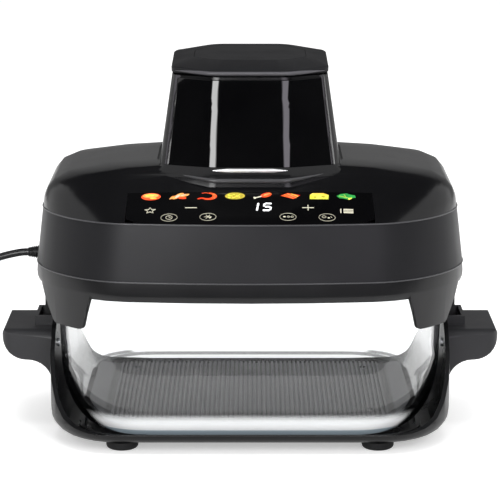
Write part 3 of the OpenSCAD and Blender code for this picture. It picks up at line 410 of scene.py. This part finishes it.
def clearPick():
    if bpy.context.object and bpy.context.object.mode != "OBJECT":
        bpy.ops.object.mode_set(mode="OBJECT")
    bpy.ops.object.select_all(action="DESELECT")


def pickOnly(piece):
    clearPick()
    piece.select_set(True)
    bpy.context.view_layer.objects.active = piece


def applyPlace(piece):
    pickOnly(piece)
    bpy.ops.object.transform_apply(location=True, rotation=True, scale=True)


def applyAll(piece):
    pickOnly(piece)
    for modifier in list(piece.modifiers):
        bpy.ops.object.modifier_apply(modifier=modifier.name)


def rounded(piece, width, segments=2, angle=30):
    bevel = piece.modifiers.new("edges", "BEVEL")
    bevel.width = width
    bevel.segments = segments
    bevel.limit_method = "ANGLE"
    bevel.angle_limit = math.radians(angle)
    bevel.use_clamp_overlap = True
    applyAll(piece)


def smoothed(piece, angle=35, weighted=False):
    pickOnly(piece)
    bpy.ops.object.shade_smooth_by_angle(angle=math.radians(angle))
    if weighted:
        even = piece.modifiers.new("even", "WEIGHTED_NORMAL")
        even.keep_sharp = True
        applyAll(piece)


def joined(pieces):
    clearPick()
    for piece in pieces:
        piece.select_set(True)
    bpy.context.view_layer.objects.active = pieces[0]
    if len(pieces) > 1:
        bpy.ops.object.join()
    return bpy.context.object


def polyCurve(lines, radius, resolution, closed=False, taper=0):
    clearPick()
    bpy.ops.curve.primitive_bezier_curve_add(location=(0, 0, 0))
    piece = bpy.context.object
    curve = piece.data
    curve.splines.clear()
    for line in lines:
        spline = curve.splines.new("POLY")
        spline.points.add(len(line) - 1)
        for i, (held, point) in enumerate(zip(spline.points, line)):
            held.co = (*point, 1)
            if taper:
                held.radius = min(1, 0.15 + min(i, len(line) - 1 - i) / taper)
        spline.use_cyclic_u = closed
    curve.dimensions = "3D"
    curve.bevel_depth = radius
    curve.bevel_resolution = resolution
    curve.use_fill_caps = not closed
    return piece


def pickBackFaces(piece):
    bpy.ops.object.mode_set(mode="EDIT")
    bpy.ops.mesh.select_all(action="DESELECT")
    bpy.ops.object.mode_set(mode="OBJECT")
    for face in piece.data.polygons:
        face.select = face.normal.x < -0.9
    bpy.ops.object.mode_set(mode="EDIT")


def drawOut(rings, x, radius, y=0, z=0):
    for newRadius, step in rings:
        bpy.ops.mesh.extrude_region_move(TRANSFORM_OT_translate={"value": (-step, 0, 0)})
        x -= step
        bpy.ops.transform.resize(value=(1, newRadius / radius, newRadius / radius), center_override=(x, y, z))
        radius = newRadius


def dressed(piece, name, body, slot, material=None):
    piece.name = name
    piece.data.name = name
    piece.data.materials.clear()
    piece.data.materials.append(material or finishes[slot])
    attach(piece, body)
    return piece


def copyOfNode(nodeName, name, body, bevel=0.0, segments=2, bevelAngle=30, smooth=35, quads=False, subdivide=0):
    pickOnly(nodes[nodeName])
    bpy.ops.object.duplicate()
    piece = bpy.context.object
    for key in list(piece.keys()):
        del piece[key]
    piece.parent = None
    piece.matrix_world = Matrix.Identity(4)
    bpy.ops.object.mode_set(mode="EDIT")
    bpy.ops.mesh.select_all(action="SELECT")
    bpy.ops.mesh.remove_doubles(threshold=0.00001)
    if quads:
        bpy.ops.mesh.tris_convert_to_quads(face_threshold=math.radians(30), shape_threshold=math.radians(60))
    else:
        bpy.ops.mesh.dissolve_limited(angle_limit=math.radians(0.4))
    bpy.ops.object.mode_set(mode="OBJECT")
    if subdivide:
        fine = piece.modifiers.new("fine", "SUBSURF")
        fine.levels = fine.render_levels = subdivide
        applyAll(piece)
    if bevel:
        rounded(piece, bevel, segments, bevelAngle)
    smoothed(piece, smooth, weighted=bool(bevel))
    dressed(piece, name, body, slotOf[nodeName])
    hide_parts(nodeName)
    return piece


# mains lead: route and coil as in the part's source, in metres

lead = {
    "exit": (-0.195, 0.032, 0.139), "diameter": 0.0066, "gap": 0.0006, "turns": 2,
    "coil": (-0.312, 0.078), "coilRadius": 0.042, "coilHeight": 0.0049, "tail": 0.018,
    "route": [(-0.195, 0.032, 0.139), (-0.203, 0.032, 0.1384), (-0.218, 0.032, 0.135), (-0.234, 0.032, 0.129),
              (-0.249, 0.032, 0.119), (-0.261, 0.033, 0.104), (-0.268, 0.034, 0.084), (-0.271, 0.035, 0.060),
              (-0.275, 0.035, 0.037), (-0.283, 0.036, 0.018), (-0.297, 0.036, 0.007), (-0.308, 0.036, 0.0049),
              (-0.312, 0.036, 0.0049)],
}


def routePoints(spec, per=4):
    points = [Vector(p) for p in spec["route"]]
    found = []
    for i in range(len(points) - 1):
        a, b, c, d = points[max(i - 1, 0)], points[i], points[i + 1], points[min(i + 2, len(points) - 1)]
        for k in range(per):
            t = k / per
            found.append(0.5 * (2 * b + (c - a) * t + (2 * a - 5 * b + 4 * c - d) * t ** 2
                                + (3 * b - a - 3 * c + d) * t ** 3))
    return found


def coilPoints(spec):
    pitch = spec["diameter"] + spec["gap"]
    wound = 360 * spec["turns"]
    end = 2 * wound + 180
    found = []
    for a in range(0, end + 1, 10):
        back = a if a < wound + 90 else end - a
        r = spec["coilRadius"] - pitch / 360 * back
        z = spec["coilHeight"] + pitch * min(1, max(0, (a - wound) / 180))
        q = math.radians(-90 - a)
        found.append(Vector((spec["coil"][0] + r * math.cos(q), spec["coil"][1] + r * math.sin(q), z)))
    q = math.radians(-90 - end)
    out = Vector((math.sin(q), -math.cos(q), 0)).normalized()
    found += [found[-1] + out * spec["tail"] * k for k in (0.33, 0.66, 1.0)]
    return found, out


def buildLead(spec):
    coil, out = coilPoints(spec)
    points = routePoints(spec) + coil
    piece = polyCurve([points], spec["diameter"] / 2, 5)
    piece.data.splines[0].use_smooth = True
    piece = dressed(piece, "mainsLead", "lid", "cord_sheath")
    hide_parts("mains_cord", "cord_coil")
    length = sum((b - a).length for a, b in zip(points, points[1:]))
    return piece, points, out, length


leadPiece, leadPoints, leadOut, leadLength = buildLead(lead)
print("lead", round(leadLength, 3))

# strain relief: radius and step of each ring of its flange, then ribs that taper towards the lead
boot = {
    "rootX": -0.1775, "startRadius": 0.0062, "rings": 7, "rootRadius": 0.0064, "tipRadius": 0.0044, "groove": 0.0007,
    "edge": 0.0001, "flange": [(0.0052, 0.0008), (0.0052, 0.0034), (0.0066, 0.0001), (0.0066, 0.0018)],
}


def buildBoot(spec):
    root = (spec["rootX"], lead["exit"][1], lead["exit"][2])
    clearPick()
    bpy.ops.mesh.primitive_circle_add(vertices=32, radius=spec["startRadius"], location=root,
                                      rotation=(0, math.radians(90), 0), fill_type="NGON")
    piece = bpy.context.object
    applyPlace(piece)
    rings = list(spec["flange"])
    ringLength = (spec["rootX"] - sum(step for _, step in rings) - lead["exit"][0]) / spec["rings"]
    edge = spec["edge"]
    for k in range(spec["rings"]):
        wide = spec["rootRadius"] + (spec["tipRadius"] - spec["rootRadius"]) * (k + 1) / spec["rings"]
        narrow = wide - spec["groove"]
        rings += [(narrow, edge), (narrow, ringLength * 0.35), (wide, edge), (wide, ringLength * 0.65 - 2 * edge)]
    bpy.ops.object.mode_set(mode="EDIT")
    bpy.ops.mesh.select_all(action="SELECT")
    drawOut(rings, root[0], spec["startRadius"], root[1], root[2])
    bpy.ops.mesh.select_all(action="SELECT")
    bpy.ops.mesh.normals_make_consistent(inside=False)
    bpy.ops.object.mode_set(mode="OBJECT")
    rounded(piece, 0.0002, 2, 40)
    smoothed(piece, 45)
    dressed(piece, "leadBoot", "lid", "cord_sheath")
    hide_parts("strain_relief")
    return piece


bootPiece = buildBoot(boot)

plug = {
    "body": (0.026, 0.026, 0.023), "bodyStart": 0.012, "shoulder": 0.0035, "shoulderDepth": 0.003, "step": 0.0012,
    "stepDepth": 0.001, "bigEdge": 0.0034, "smallEdge": 0.0003, "neckEdge": 0.0002, "aboveTable": 0.0002,
    "neckRadius": 0.0062, "neckRoot": 0.001, "neckOverlap": 0.0028,
    "neckRings": ((0.0058, 0.0024), (0.0048, 0.0001), (0.0048, 0.0012), (0.0055, 0.0001), (0.0052, 0.0022),
                  (0.0044, 0.0001), (0.0044, 0.0012), (0.0050, 0.0001), (0.0046, 0.0030), (0.0040, 0.0030)),
}


def buildPlug(spec):
    tail = leadPoints[-1]
    turn = math.atan2(leadOut[1], leadOut[0])
    length, wide, high = spec["body"]
    clearPick()
    bpy.ops.mesh.primitive_cube_add(size=1, location=(0, 0, 0))
    piece = bpy.context.object
    piece.scale = (length, wide, high)
    applyPlace(piece)
    pickBackFaces(piece)
    bpy.ops.mesh.inset(thickness=spec["shoulder"])
    bpy.ops.transform.translate(value=(spec["shoulderDepth"], 0, 0))
    bpy.ops.mesh.inset(thickness=spec["step"])
    bpy.ops.mesh.extrude_region_move(TRANSFORM_OT_translate={"value": (-spec["stepDepth"], 0, 0)})
    bpy.ops.object.mode_set(mode="OBJECT")
    rounded(piece, spec["bigEdge"], 4, 40)
    rounded(piece, spec["smallEdge"], 2, 50)
    neckStart = spec["shoulderDepth"] - length / 2
    clearPick()
    bpy.ops.mesh.primitive_cylinder_add(vertices=32, radius=spec["neckRadius"], depth=spec["neckRoot"],
                                        location=(neckStart, 0, 0), rotation=(0, math.radians(90), 0))
    neck = bpy.context.object
    applyPlace(neck)
    pickBackFaces(neck)
    drawOut(spec["neckRings"], neckStart - spec["neckRoot"] / 2, spec["neckRadius"])
    bpy.ops.object.mode_set(mode="OBJECT")
    rounded(neck, spec["neckEdge"], 2, 50)
    piece = joined([piece, neck])
    middle = spec["bodyStart"] + length / 2
    piece.rotation_euler = (0, 0, turn)
    piece.location = Vector((tail.x, tail.y, high / 2 + spec["aboveTable"])) + leadOut * middle
    neckDrop = tail.z - piece.location.z
    applyPlace(piece)
    for vertex in piece.data.vertices:
        along = (vertex.co - tail).dot(leadOut)
        if along < spec["bodyStart"] + spec["neckOverlap"]:
            vertex.co.z += neckDrop
    smoothed(piece, 40)
    dressed(piece, "plugBody", "lid", "plug_plastic")
    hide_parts("mains_plug")
    return piece


plugPiece = buildPlug(plug)
tiePiece = copyOfNode("cord_tie", "leadTie", "lid", bevel=0.0004)
pinsPiece = copyOfNode("plug_pins", "plugPins", "lid", bevel=0.0005)
print("lead with its boot, plug and tie")


# shells: copies of the moulded parts with softened edges

# painted shade in the valleys between the plate's ribs: heights in metres between which the coating blends from the
# painted near-black shade to its own tone
plateValleyShade = {"valley": 0.0226, "crest": 0.0242, "valleyShadeTone": (0.004, 0.004, 0.005, 1), "shine": 0.12}


def ribbedPlateShaded(spec):
    material = finishes["plate_coating"].copy()
    material.name = "ribbedPlateShaded"
    tree = material.node_tree
    body = tree.nodes["Principled BSDF"]
    surface = next(n for n in tree.nodes if n.type == "GROUP")
    place = next(n for n in tree.nodes if n.type == "TEX_COORD")
    apart = tree.nodes.new("ShaderNodeSeparateXYZ")
    # painted shade: the coating darkens towards the valleys of the ribs
    height = band(tree, apart.outputs["Z"], spec["valley"], spec["crest"])
    tone = tree.nodes.new("ShaderNodeMix")
    tone.data_type = "RGBA"
    tone.inputs["A"].default_value = spec["valleyShadeTone"]
    body.inputs["Specular IOR Level"].default_value = spec["shine"]
    linkNodes(tree, (place.outputs["Object"], apart.inputs[0]), (height, tone.inputs["Factor"]),
              (surface.outputs["Color"], tone.inputs["B"]), (tone.outputs["Result"], body.inputs["Base Color"]))
    return material


# body, edge radius in metres, segments and smallest edge angle of each copied part
softEdges = {
    "cradle": ("base", 0.0011, 3, 30),
    "left_handle": ("base", 0.0016, 3, 30), "right_handle": ("base", 0.0016, 3, 30),
    "lid_skirt": ("lid", 0.0004, 2, 30), "left_post": ("lid", 0.0006, 2, 30), "right_post": ("lid", 0.0006, 2, 30),
    "lid_housing": ("lid", 0.0005, 2, 30), "top_cover": ("lid", 0.0005, 2, 40), "tower_shell": ("lid", 0.0005, 2, 40),
    "tower_front_panel": ("lid", 0.0003, 2, 40), "tower_cap": ("lid", 0.0006, 3, 30),
    "cap_inlay": ("lid", 0.0003, 2, 30), "touch_panel": ("lid", 0.0002, 1, 50),
    "crisper_plate": ("plate", 0.0002, 1, 60),
    "foot_front_left": ("base", 0.0004, 2, 40), "foot_front_right": ("base", 0.0004, 2, 40),
    "foot_rear_left": ("base", 0.0004, 2, 40), "foot_rear_right": ("base", 0.0004, 2, 40),
}


def camel(nodeName):
    words = nodeName.split("_")
    return words[0] + "".join(word.capitalize() for word in words[1:])


shells = {name: copyOfNode(name, camel(name), body, bevel, segments, angle)
          for name, (body, bevel, segments, angle) in softEdges.items()}
ownLooks = {"top_cover": "topGloss", "tower_shell": "topGloss", "touch_panel": "touchGloss", "cradle": "cradleBlack",
            "left_handle": "handleGrey", "right_handle": "handleGrey"}
for nodeName, look in ownLooks.items():
    shells[nodeName].material_slots[0].material = variants[look]
shells["crisper_plate"].material_slots[0].material = ribbedPlateShaded(plateValleyShade)
print("shells finished")

copyOfNode("glass_bowl", "glassBowl", "bowl", quads=True, subdivide=2, smooth=60)
print("bowl finished")


# seam beads painted lighter as seam highlights, finger ribs, the lip at the tower's foot painted grey as sheen, a
# bright strip painted as the ledge's reflection and the cap's front band painted lighter as lit; outlines as in the
# part's source, in millimetres

lidOutline = {"halfWidth": 180, "halfDepth": 140, "corner": 80, "bow": 18}
towerShape = {
    "foot": (75.5, 76), "top": (65, 66), "low": 234, "high": 307, "recess": 9.2, "cheek": (17, 4.4), "back": (22, 10),
    "frontHalf": 26.9, "cornerRadius": 22, "cornerTurn": 21,
}
towerLip = {"z": 231, "wider": 2.4, "deeper": 3.4, "reach": 0.86, "drop": 8, "fade": 80, "radius": 1.9}
towerLedgeReflection = {"y": -79.6, "sweep": 0.02, "z": 232.0, "half": 31, "radius": 1.7}
capBand = {"z": 310.7, "out": 0.2, "reach": 0.9, "radius": 1.6}
gripRibs = {"heights": (261.5, 265, 268.5, 272, 275.5, 279), "sunk": 0.1, "margin": 9, "share": 0.78, "radius": 0.9}


def lidRing(z, narrower, steps=16):
    spec = lidOutline
    hw, hd, r = (spec[k] - narrower for k in ("halfWidth", "halfDepth", "corner"))
    cx, cy = hw - r, hd - spec["bow"] - r
    found = []
    for k in range(4):
        sx, sy = (1 if k in (0, 3) else -1), (1 if k < 2 else -1)
        for i in range(steps + 1):
            a = math.radians(90 * (k + i / steps))
            found.append((sx * cx + r * math.cos(a), sy * cy + r * math.sin(a)))
        if k in (0, 2):
            found += [(sx * cx * (1 - j / 8), sy * (cy + r)) for j in range(1, 16)]
    return [(x, y + spec["bow"] * (1 - (x / hw) ** 2) * y / (hd - spec["bow"]), z) for x, y in found]


def towerSize(z, wider=0.0, deeper=0.0):
    spec = towerShape
    t = min(1, max(0, (z - spec["low"]) / (spec["high"] - spec["low"])))
    hw, hd = (a + (b - a) * t for a, b in zip(spec["foot"], spec["top"]))
    hd += deeper
    front, back = (hd - (near + more * t) for near, more in (spec["cheek"], spec["back"]))
    return hw + wider, hd, front, back


def towerFront(z, wider, deeper, reach):
    hw, hd, hy, _ = towerSize(z, wider, deeper)
    half, r = towerShape["frontHalf"], towerShape["cornerRadius"]
    found = []
    for side in (-1, 1):
        corner = []
        for i in range(9):
            q = math.radians(towerShape["cornerTurn"] * i / 8)
            corner.append((side * (half + r * math.sin(q)), -hd + r * (1 - math.cos(q)), z))
        last = corner[-1]
        end = (side * hw, -hy, z)
        corner += [tuple(a + (b - a) * reach * k / 4 for a, b in zip(last, end)) for k in range(1, 5)]
        found += corner[::-1] if side < 0 else corner
    return found


def strips(name, lines, radius, body, slot, material, closed=False, taper=0):
    scaled = [[tuple(c * mm for c in point) for point in line] for line in lines]
    polyCurve(scaled, radius * mm, 3, closed, taper)
    bpy.ops.object.convert(target="MESH")
    piece = bpy.context.object
    smoothed(piece, 60)
    return dressed(piece, name, body, slot, material)


seamHighlightGrey = variants["seamHighlightGrey"]
# the seam beads are painted lighter grey as highlights along the skirt and shoulder seams
strips("skirtBead", [lidRing(150, 0.1)], 0.55, "lid", "housing_black", seamHighlightGrey, closed=True)
strips("shoulderSeamHighlight", [lidRing(197.1, 5.7)], 0.6, "lid", "housing_black", seamHighlightGrey, closed=True)
# the lip strip is painted grey as the sheen on the glossy flare at the tower's foot
lipLine = []
for x, y, z in towerFront(towerLip["z"], towerLip["wider"], towerLip["deeper"], towerLip["reach"]):
    drop = towerLip["drop"] * (1 - (x / towerLip["fade"]) ** 2)
    lipLine.append((x, y - 0.5 * drop, z - drop))
strips("towerLip", [lipLine], towerLip["radius"], "lid", "housing_black", variants["lipGrey"], taper=5)
# a bright strip stands for the reflection on the glossy ledge below the tower's front, a painted reflection
ledgeReflectionLine = [(x, towerLedgeReflection["y"] + towerLedgeReflection["sweep"] * abs(x), towerLedgeReflection["z"])
             for x in range(-towerLedgeReflection["half"], towerLedgeReflection["half"] + 1, 2)]
strips("towerLedgeReflection", [ledgeReflectionLine], towerLedgeReflection["radius"], "lid", "panel_gloss", variants["ledgeReflectionWhite"], taper=7)
# the cap's front band is painted lighter as its lit front edge
capHighlightLine = towerFront(capBand["z"], capBand["out"], capBand["out"], capBand["reach"])
strips("capBand", [capHighlightLine], capBand["radius"], "lid", "cap_grey", variants["bandGrey"], taper=3)
for side, sideName in ((-1, "left"), (1, "right")):
    ribs = []
    for z in gripRibs["heights"]:
        hw, hd, hy, hb = towerSize(z)
        x = side * (hw - towerShape["recess"] + gripRibs["sunk"])
        start = -(hy - gripRibs["margin"]) * gripRibs["share"]
        reach = (hb + hy - 2 * gripRibs["margin"]) * gripRibs["share"]
        ribs.append([(x, start + reach * k / 6, z) for k in range(7)])
    strips(sideName + "GripRibs", ribs, gripRibs["radius"], "lid", "housing_black", variants["topGloss"])
print("beads and ribs")


# printed icons of the touch panel, their inks given a painted glow, in millimetres across the panel and up its slope

slopeAngle = math.atan(16 / 37)
panelPlace = Vector((0, -111.4, 206.946))
panelUp = Vector((0, math.cos(slopeAngle), math.sin(slopeAngle)))
panelOut = Vector((0, -math.sin(slopeAngle), math.cos(slopeAngle)))


# printed ink colours; each ink also glows a little as a painted glow, and the white ink is the display's own lit
# digits
def ink(name, first, second, scale, strength):
    material = finish(name, first, (0.35, 0.45), other=second, grain=900, bump=0.02)
    tree = material.node_tree
    tree.nodes["Mapping"].inputs["Scale"].default_value = (scale, scale, scale)
    body = tree.nodes["Principled BSDF"]
    surface = next(n for n in tree.nodes if n.type == "GROUP")
    tree.links.new(surface.outputs["Color"], body.inputs["Emission Color"])
    body.inputs["Emission Strength"].default_value = strength
    return material


inks = {
    "red": ink("inkRed", (0.75, 0.03, 0.012), (0.95, 0.12, 0.02), 30, 0.5),
    "orange": ink("inkOrange", (0.85, 0.2, 0.03), (0.98, 0.5, 0.16), 40, 0.42),
    "yellow": ink("inkYellow", (0.85, 0.5, 0.04), (0.95, 0.72, 0.12), 40, 0.42),
    "lime": ink("inkLime", (0.62, 0.68, 0.04), (0.8, 0.82, 0.12), 30, 0.32),
    "olive": ink("inkOlive", (0.36, 0.3, 0.02), (0.66, 0.52, 0.06), 60, 0.25),
    "green": ink("inkGreen", (0.01, 0.16, 0.03), (0.04, 0.42, 0.08), 50, 0.4),
    "cream": ink("inkCream", (0.55, 0.52, 0.4), (0.62, 0.6, 0.47), 20, 0.4),
    "white": ink("inkWhite", (0.95, 0.96, 0.98), (1, 1, 1), 20, 1.0),
}
panelMesh = shells["touch_panel"]


def onPanel(x, s, lift):
    flat = panelPlace + Vector((x, 0, 0)) + panelUp * s
    start = (flat + panelOut * 8) * mm
    hit, found, _, _ = panelMesh.ray_cast(start, -panelOut)
    return (found if hit else flat * mm) + panelOut * lift * mm


def fillShape(points, tone, layer, centre):
    bpy.ops.mesh.primitive_circle_add(vertices=len(points), radius=0.001, fill_type="NGON", location=(0, 0, 0))
    piece = bpy.context.object
    for vertex, (x, s) in zip(piece.data.vertices, points):
        vertex.co = onPanel(centre[0] + x, centre[1] + s, 0.14 + 0.07 * layer)
    thick = piece.modifiers.new("thick", "SOLIDIFY")
    thick.thickness = 0.00006
    thick.offset = 0
    applyAll(piece)
    piece.data.materials.append(inks[tone])
    return piece


def lineShape(points, width, tone, layer, centre, closed=False):
    line = [onPanel(centre[0] + x, centre[1] + s, 0.1 + 0.07 * layer) for x, s in points]
    polyCurve([line], width / 2 * mm, 1, closed)
    bpy.ops.object.convert(target="MESH")
    piece = bpy.context.object
    piece.data.materials.append(inks[tone])
    return piece


def oval(x, s, rx, rs, turn=0, count=20):
    q = math.radians(turn)
    points = [(rx * math.cos(2 * math.pi * k / count), rs * math.sin(2 * math.pi * k / count)) for k in range(count)]
    return [(x + a * math.cos(q) - b * math.sin(q), s + a * math.sin(q) + b * math.cos(q)) for a, b in points]


def crescent(cx, cs, outer, squash, start, end, thick, count=14):
    found = []
    for k in range(count + 1):
        q = math.radians(start + (end - start) * k / count)
        found.append((cx + outer * math.cos(q), cs + outer * squash * math.sin(q)))
    for k in range(count, -1, -1):
        q = math.radians(start + (end - start) * k / count)
        inner = outer - thick * math.sin(math.pi * (0.12 + 0.76 * k / count)) ** 0.8
        found.append((cx + inner * math.cos(q), cs + inner * squash * math.sin(q)))
    return found


star = [((1.9 if k % 2 else 4.6) * math.sin(math.pi * k / 5), (1.7 if k % 2 else 4.0) * math.cos(math.pi * k / 5))
        for k in range(10)]
ring = oval(0, 0, 6.6, 4.8, count=32)
grains = random.Random(7)


def grainOval():
    return oval(grains.uniform(-5.6, 5.6), grains.uniform(-2.9, 2.9), 1.3, 0.5, grains.uniform(0, 180), 10)


# each icon: its middle on the panel, then its shapes from the bottom layer to the top one
icons = {
    "iconDish": ((-81.1, 17.5), [
        ("fill", oval(0, 0, 8.0, 5.0), "red"), ("fill", oval(-0.3, 1.3, 6.6, 3.1), "orange"),
        ("fill", oval(-1.2, 1.7, 3.6, 1.5), "yellow"), ("fill", oval(3.4, 2.2, 1.5, 0.7), "yellow"),
        ("fill", oval(2.0, -2.6, 3.0, 0.8), "yellow"),
    ]),
    "iconNuggets": ((-58.2, 17.5), [
        ("fill", oval(-3.6, -1.6, 3.4, 2.4, 20), "orange"), ("fill", oval(0.4, 1.6, 4.4, 1.9, 38), "orange"),
        ("fill", oval(4.6, 1.2, 4.2, 1.5, 24), "orange"), ("fill", oval(2.6, -2.6, 3.6, 1.7, -8), "red"),
        ("fill", oval(-1.2, -0.4, 2.6, 1.2, 50), "cream"), ("fill", oval(3.4, 1.4, 2.6, 0.6, 30), "cream"),
        ("fill", oval(-6.4, -3.4, 1.6, 0.8, 30), "orange"),
    ]),
    "iconShrimp": ((-34.4, 17.5), [
        ("fill", crescent(0.6, -0.2, 6.8, 0.78, -150, 88, 3.8), "red"),
        ("line", [(0.8, 4.2), (-2.4, 4.9), (-5.2, 4.0)], 0.5, "red"),
        ("fill", oval(-6.4, -3.4, 2.4, 1.0, 20), "red"), ("line", [(5.6, 2.6), (4.1, 1.8)], 0.45, "orange"),
        ("line", [(7.1, -0.2), (5.0, -0.1)], 0.45, "orange"), ("line", [(6.0, -3.0), (4.4, -1.9)], 0.45, "orange"),
    ]),
    "iconGrain": ((-12.3, 17.5), [
        ("fill", oval(0, 0, 8.2, 4.9), "olive"),
        *(("fill", grainOval(), "lime" if k % 3 else "yellow") for k in range(15)),
    ]),
    "iconDrumstick": ((10.6, 17.5), [
        ("line", [(-6.6, -2.9), (-1.0, -0.6)], 1.1, "cream"), ("fill", oval(-7.0, -2.2, 1.0, 0.8), "cream"),
        ("fill", oval(-6.6, -3.8, 1.0, 0.8), "cream"), ("fill", oval(2.6, 1.1, 4.9, 2.9, 28), "red"),
        ("fill", oval(3.2, 2.0, 2.9, 1.1, 28), "orange"),
    ]),
    "iconSlices": ((33.2, 17.5), [
        ("fill", [(-8.0, 0.6), (-2.2, 4.2), (8.0, 1.4), (2.4, -4.2)], "red"),
        ("line", [(-2.6, 3.4), (4.6, -2.6)], 0.7, "orange"), ("line", [(0.6, 3.2), (6.2, -0.6)], 0.7, "yellow"),
        ("line", [(-5.0, 1.9), (1.8, -3.4)], 0.5, "orange"),
    ]),
    "iconBlock": ((56.5, 17.5), [
        ("fill", [(-7.6, -4.2), (7.6, -4.2), (8.0, 1.8), (-7.4, 1.8)], "lime"),
        ("fill", [(-7.4, 1.8), (8.0, 1.8), (3.6, 4.4), (-5.4, 4.2)], "yellow"),
        ("fill", oval(-3.2, -1.4, 1.3, 1.0), "olive"), ("fill", oval(3.6, -0.6, 1.7, 1.2), "olive"),
    ]),
    "iconLeaf": ((78.6, 17.5), [
        ("fill", [(-7.6, 0.8), (-4.4, 3.6), (0.6, 4.6), (3.4, 3.0), (7.4, 2.2), (8.0, -0.8),
                  (4.4, -2.2), (2.6, -4.4), (-1.0, -3.0), (-5.4, -2.2)], "green"),
        ("fill", oval(3.2, -2.8, 2.0, 1.1, 40), "lime"), ("line", [(-5.6, 0.8), (2.6, -2.2)], 0.4, "lime"),
        ("line", [(-1.6, 2.8), (0.4, -1.2)], 0.35, "lime"),
    ]),
    "iconStar": ((-81.2, -2.6), [("loop", star, 0.7, "cream")]),
    "iconMinus": ((-48, 0.3), [("line", [(-4.8, 0), (4.8, 0)], 0.8, "cream")]),
    "iconPlus": ((47.2, 0.3), [
        ("line", [(-4.8, 0), (4.8, 0)], 0.8, "cream"), ("line", [(0, -3.9), (0, 3.9)], 0.8, "cream"),
    ]),
    "iconList": ((78.7, -3.3), [
        ("fill", [(-5.4, -2.8), (-4.5, -2.8), (-4.5, 2.8), (-5.4, 2.8)], "cream"),
        *(("fill", [(-2.8, s), (5.2, s), (5.2, s + 1.35), (-2.8, s + 1.35)], "cream") for s in (-2.9, -0.9, 1.1)),
    ]),
    "readoutOne": ((10.6, 1.0), [
        ("line", [(-5.0, -5.2), (-4.5, -0.8)], 1.6, "white"), ("line", [(-4.4, 0.6), (-3.8, 4.8)], 1.6, "white"),
    ]),
    "readoutFive": ((10.6, 1.0), [
        ("line", [(6.8, 5.0), (1.8, 5.0)], 1.5, "white"), ("line", [(1.1, 4.2), (0.7, 0.9)], 1.5, "white"),
        ("line", [(1.6, 0), (5.6, 0)], 1.5, "white"), ("line", [(6.3, -0.9), (5.9, -4.4)], 1.5, "white"),
        ("line", [(5.1, -5.3), (-0.2, -5.3)], 1.5, "white"),
    ]),
    "keyClock": ((-65.5, -12.5), [
        ("loop", ring, 0.32, "cream"), ("loop", oval(0, 0, 2.6, 2.4), 0.4, "cream"),
        ("line", [(0, 1.6), (0, 0), (1.4, 0)], 0.4, "cream"),
    ]),
    "keyFlake": ((-34, -12.5), [
        ("loop", ring, 0.32, "cream"), ("line", [(-3.0, 0), (3.0, 0)], 0.45, "cream"),
        ("line", [(-1.6, -2.4), (1.6, 2.4)], 0.45, "cream"), ("line", [(-1.6, 2.4), (1.6, -2.4)], 0.45, "cream"),
        ("fill", oval(1.9, -1.4, 0.8, 0.7), "cream"),
    ]),
    "keyShake": ((30.7, -12.5), [
        ("loop", ring, 0.32, "cream"), ("fill", oval(-2.9, 0, 1.1, 0.9), "cream"),
        ("loop", oval(0.4, 0, 1.1, 0.9), 0.35, "cream"), ("loop", oval(3.4, 0, 1.1, 0.9), 0.35, "cream"),
    ]),
    "keyLamp": ((62.3, -12.5), [
        ("loop", ring, 0.32, "cream"), ("loop", oval(-2.4, 0.6, 1.6, 1.3), 0.35, "cream"),
        ("fill", oval(1.4, -0.8, 1.0, 0.8), "cream"), ("line", [(3.0, 1.2), (4.0, -0.6)], 0.4, "cream"),
    ]),
}


def buildIcon(name, centre, shapes):
    clearPick()
    made = []
    for layer, (kind, points, *rest) in enumerate(shapes):
        level = min(layer, 3)
        if kind == "fill":
            made.append(fillShape(points, rest[0], level, centre))
        else:
            made.append(lineShape(points, rest[0], rest[1], level, centre, kind == "loop"))
    piece = joined(made)
    piece.name = piece.data.name = name
    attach(piece, "lid")


for iconName, (iconCentre, iconShapes) in icons.items():
    buildIcon(iconName, iconCentre, iconShapes)
print("icons", len(icons))
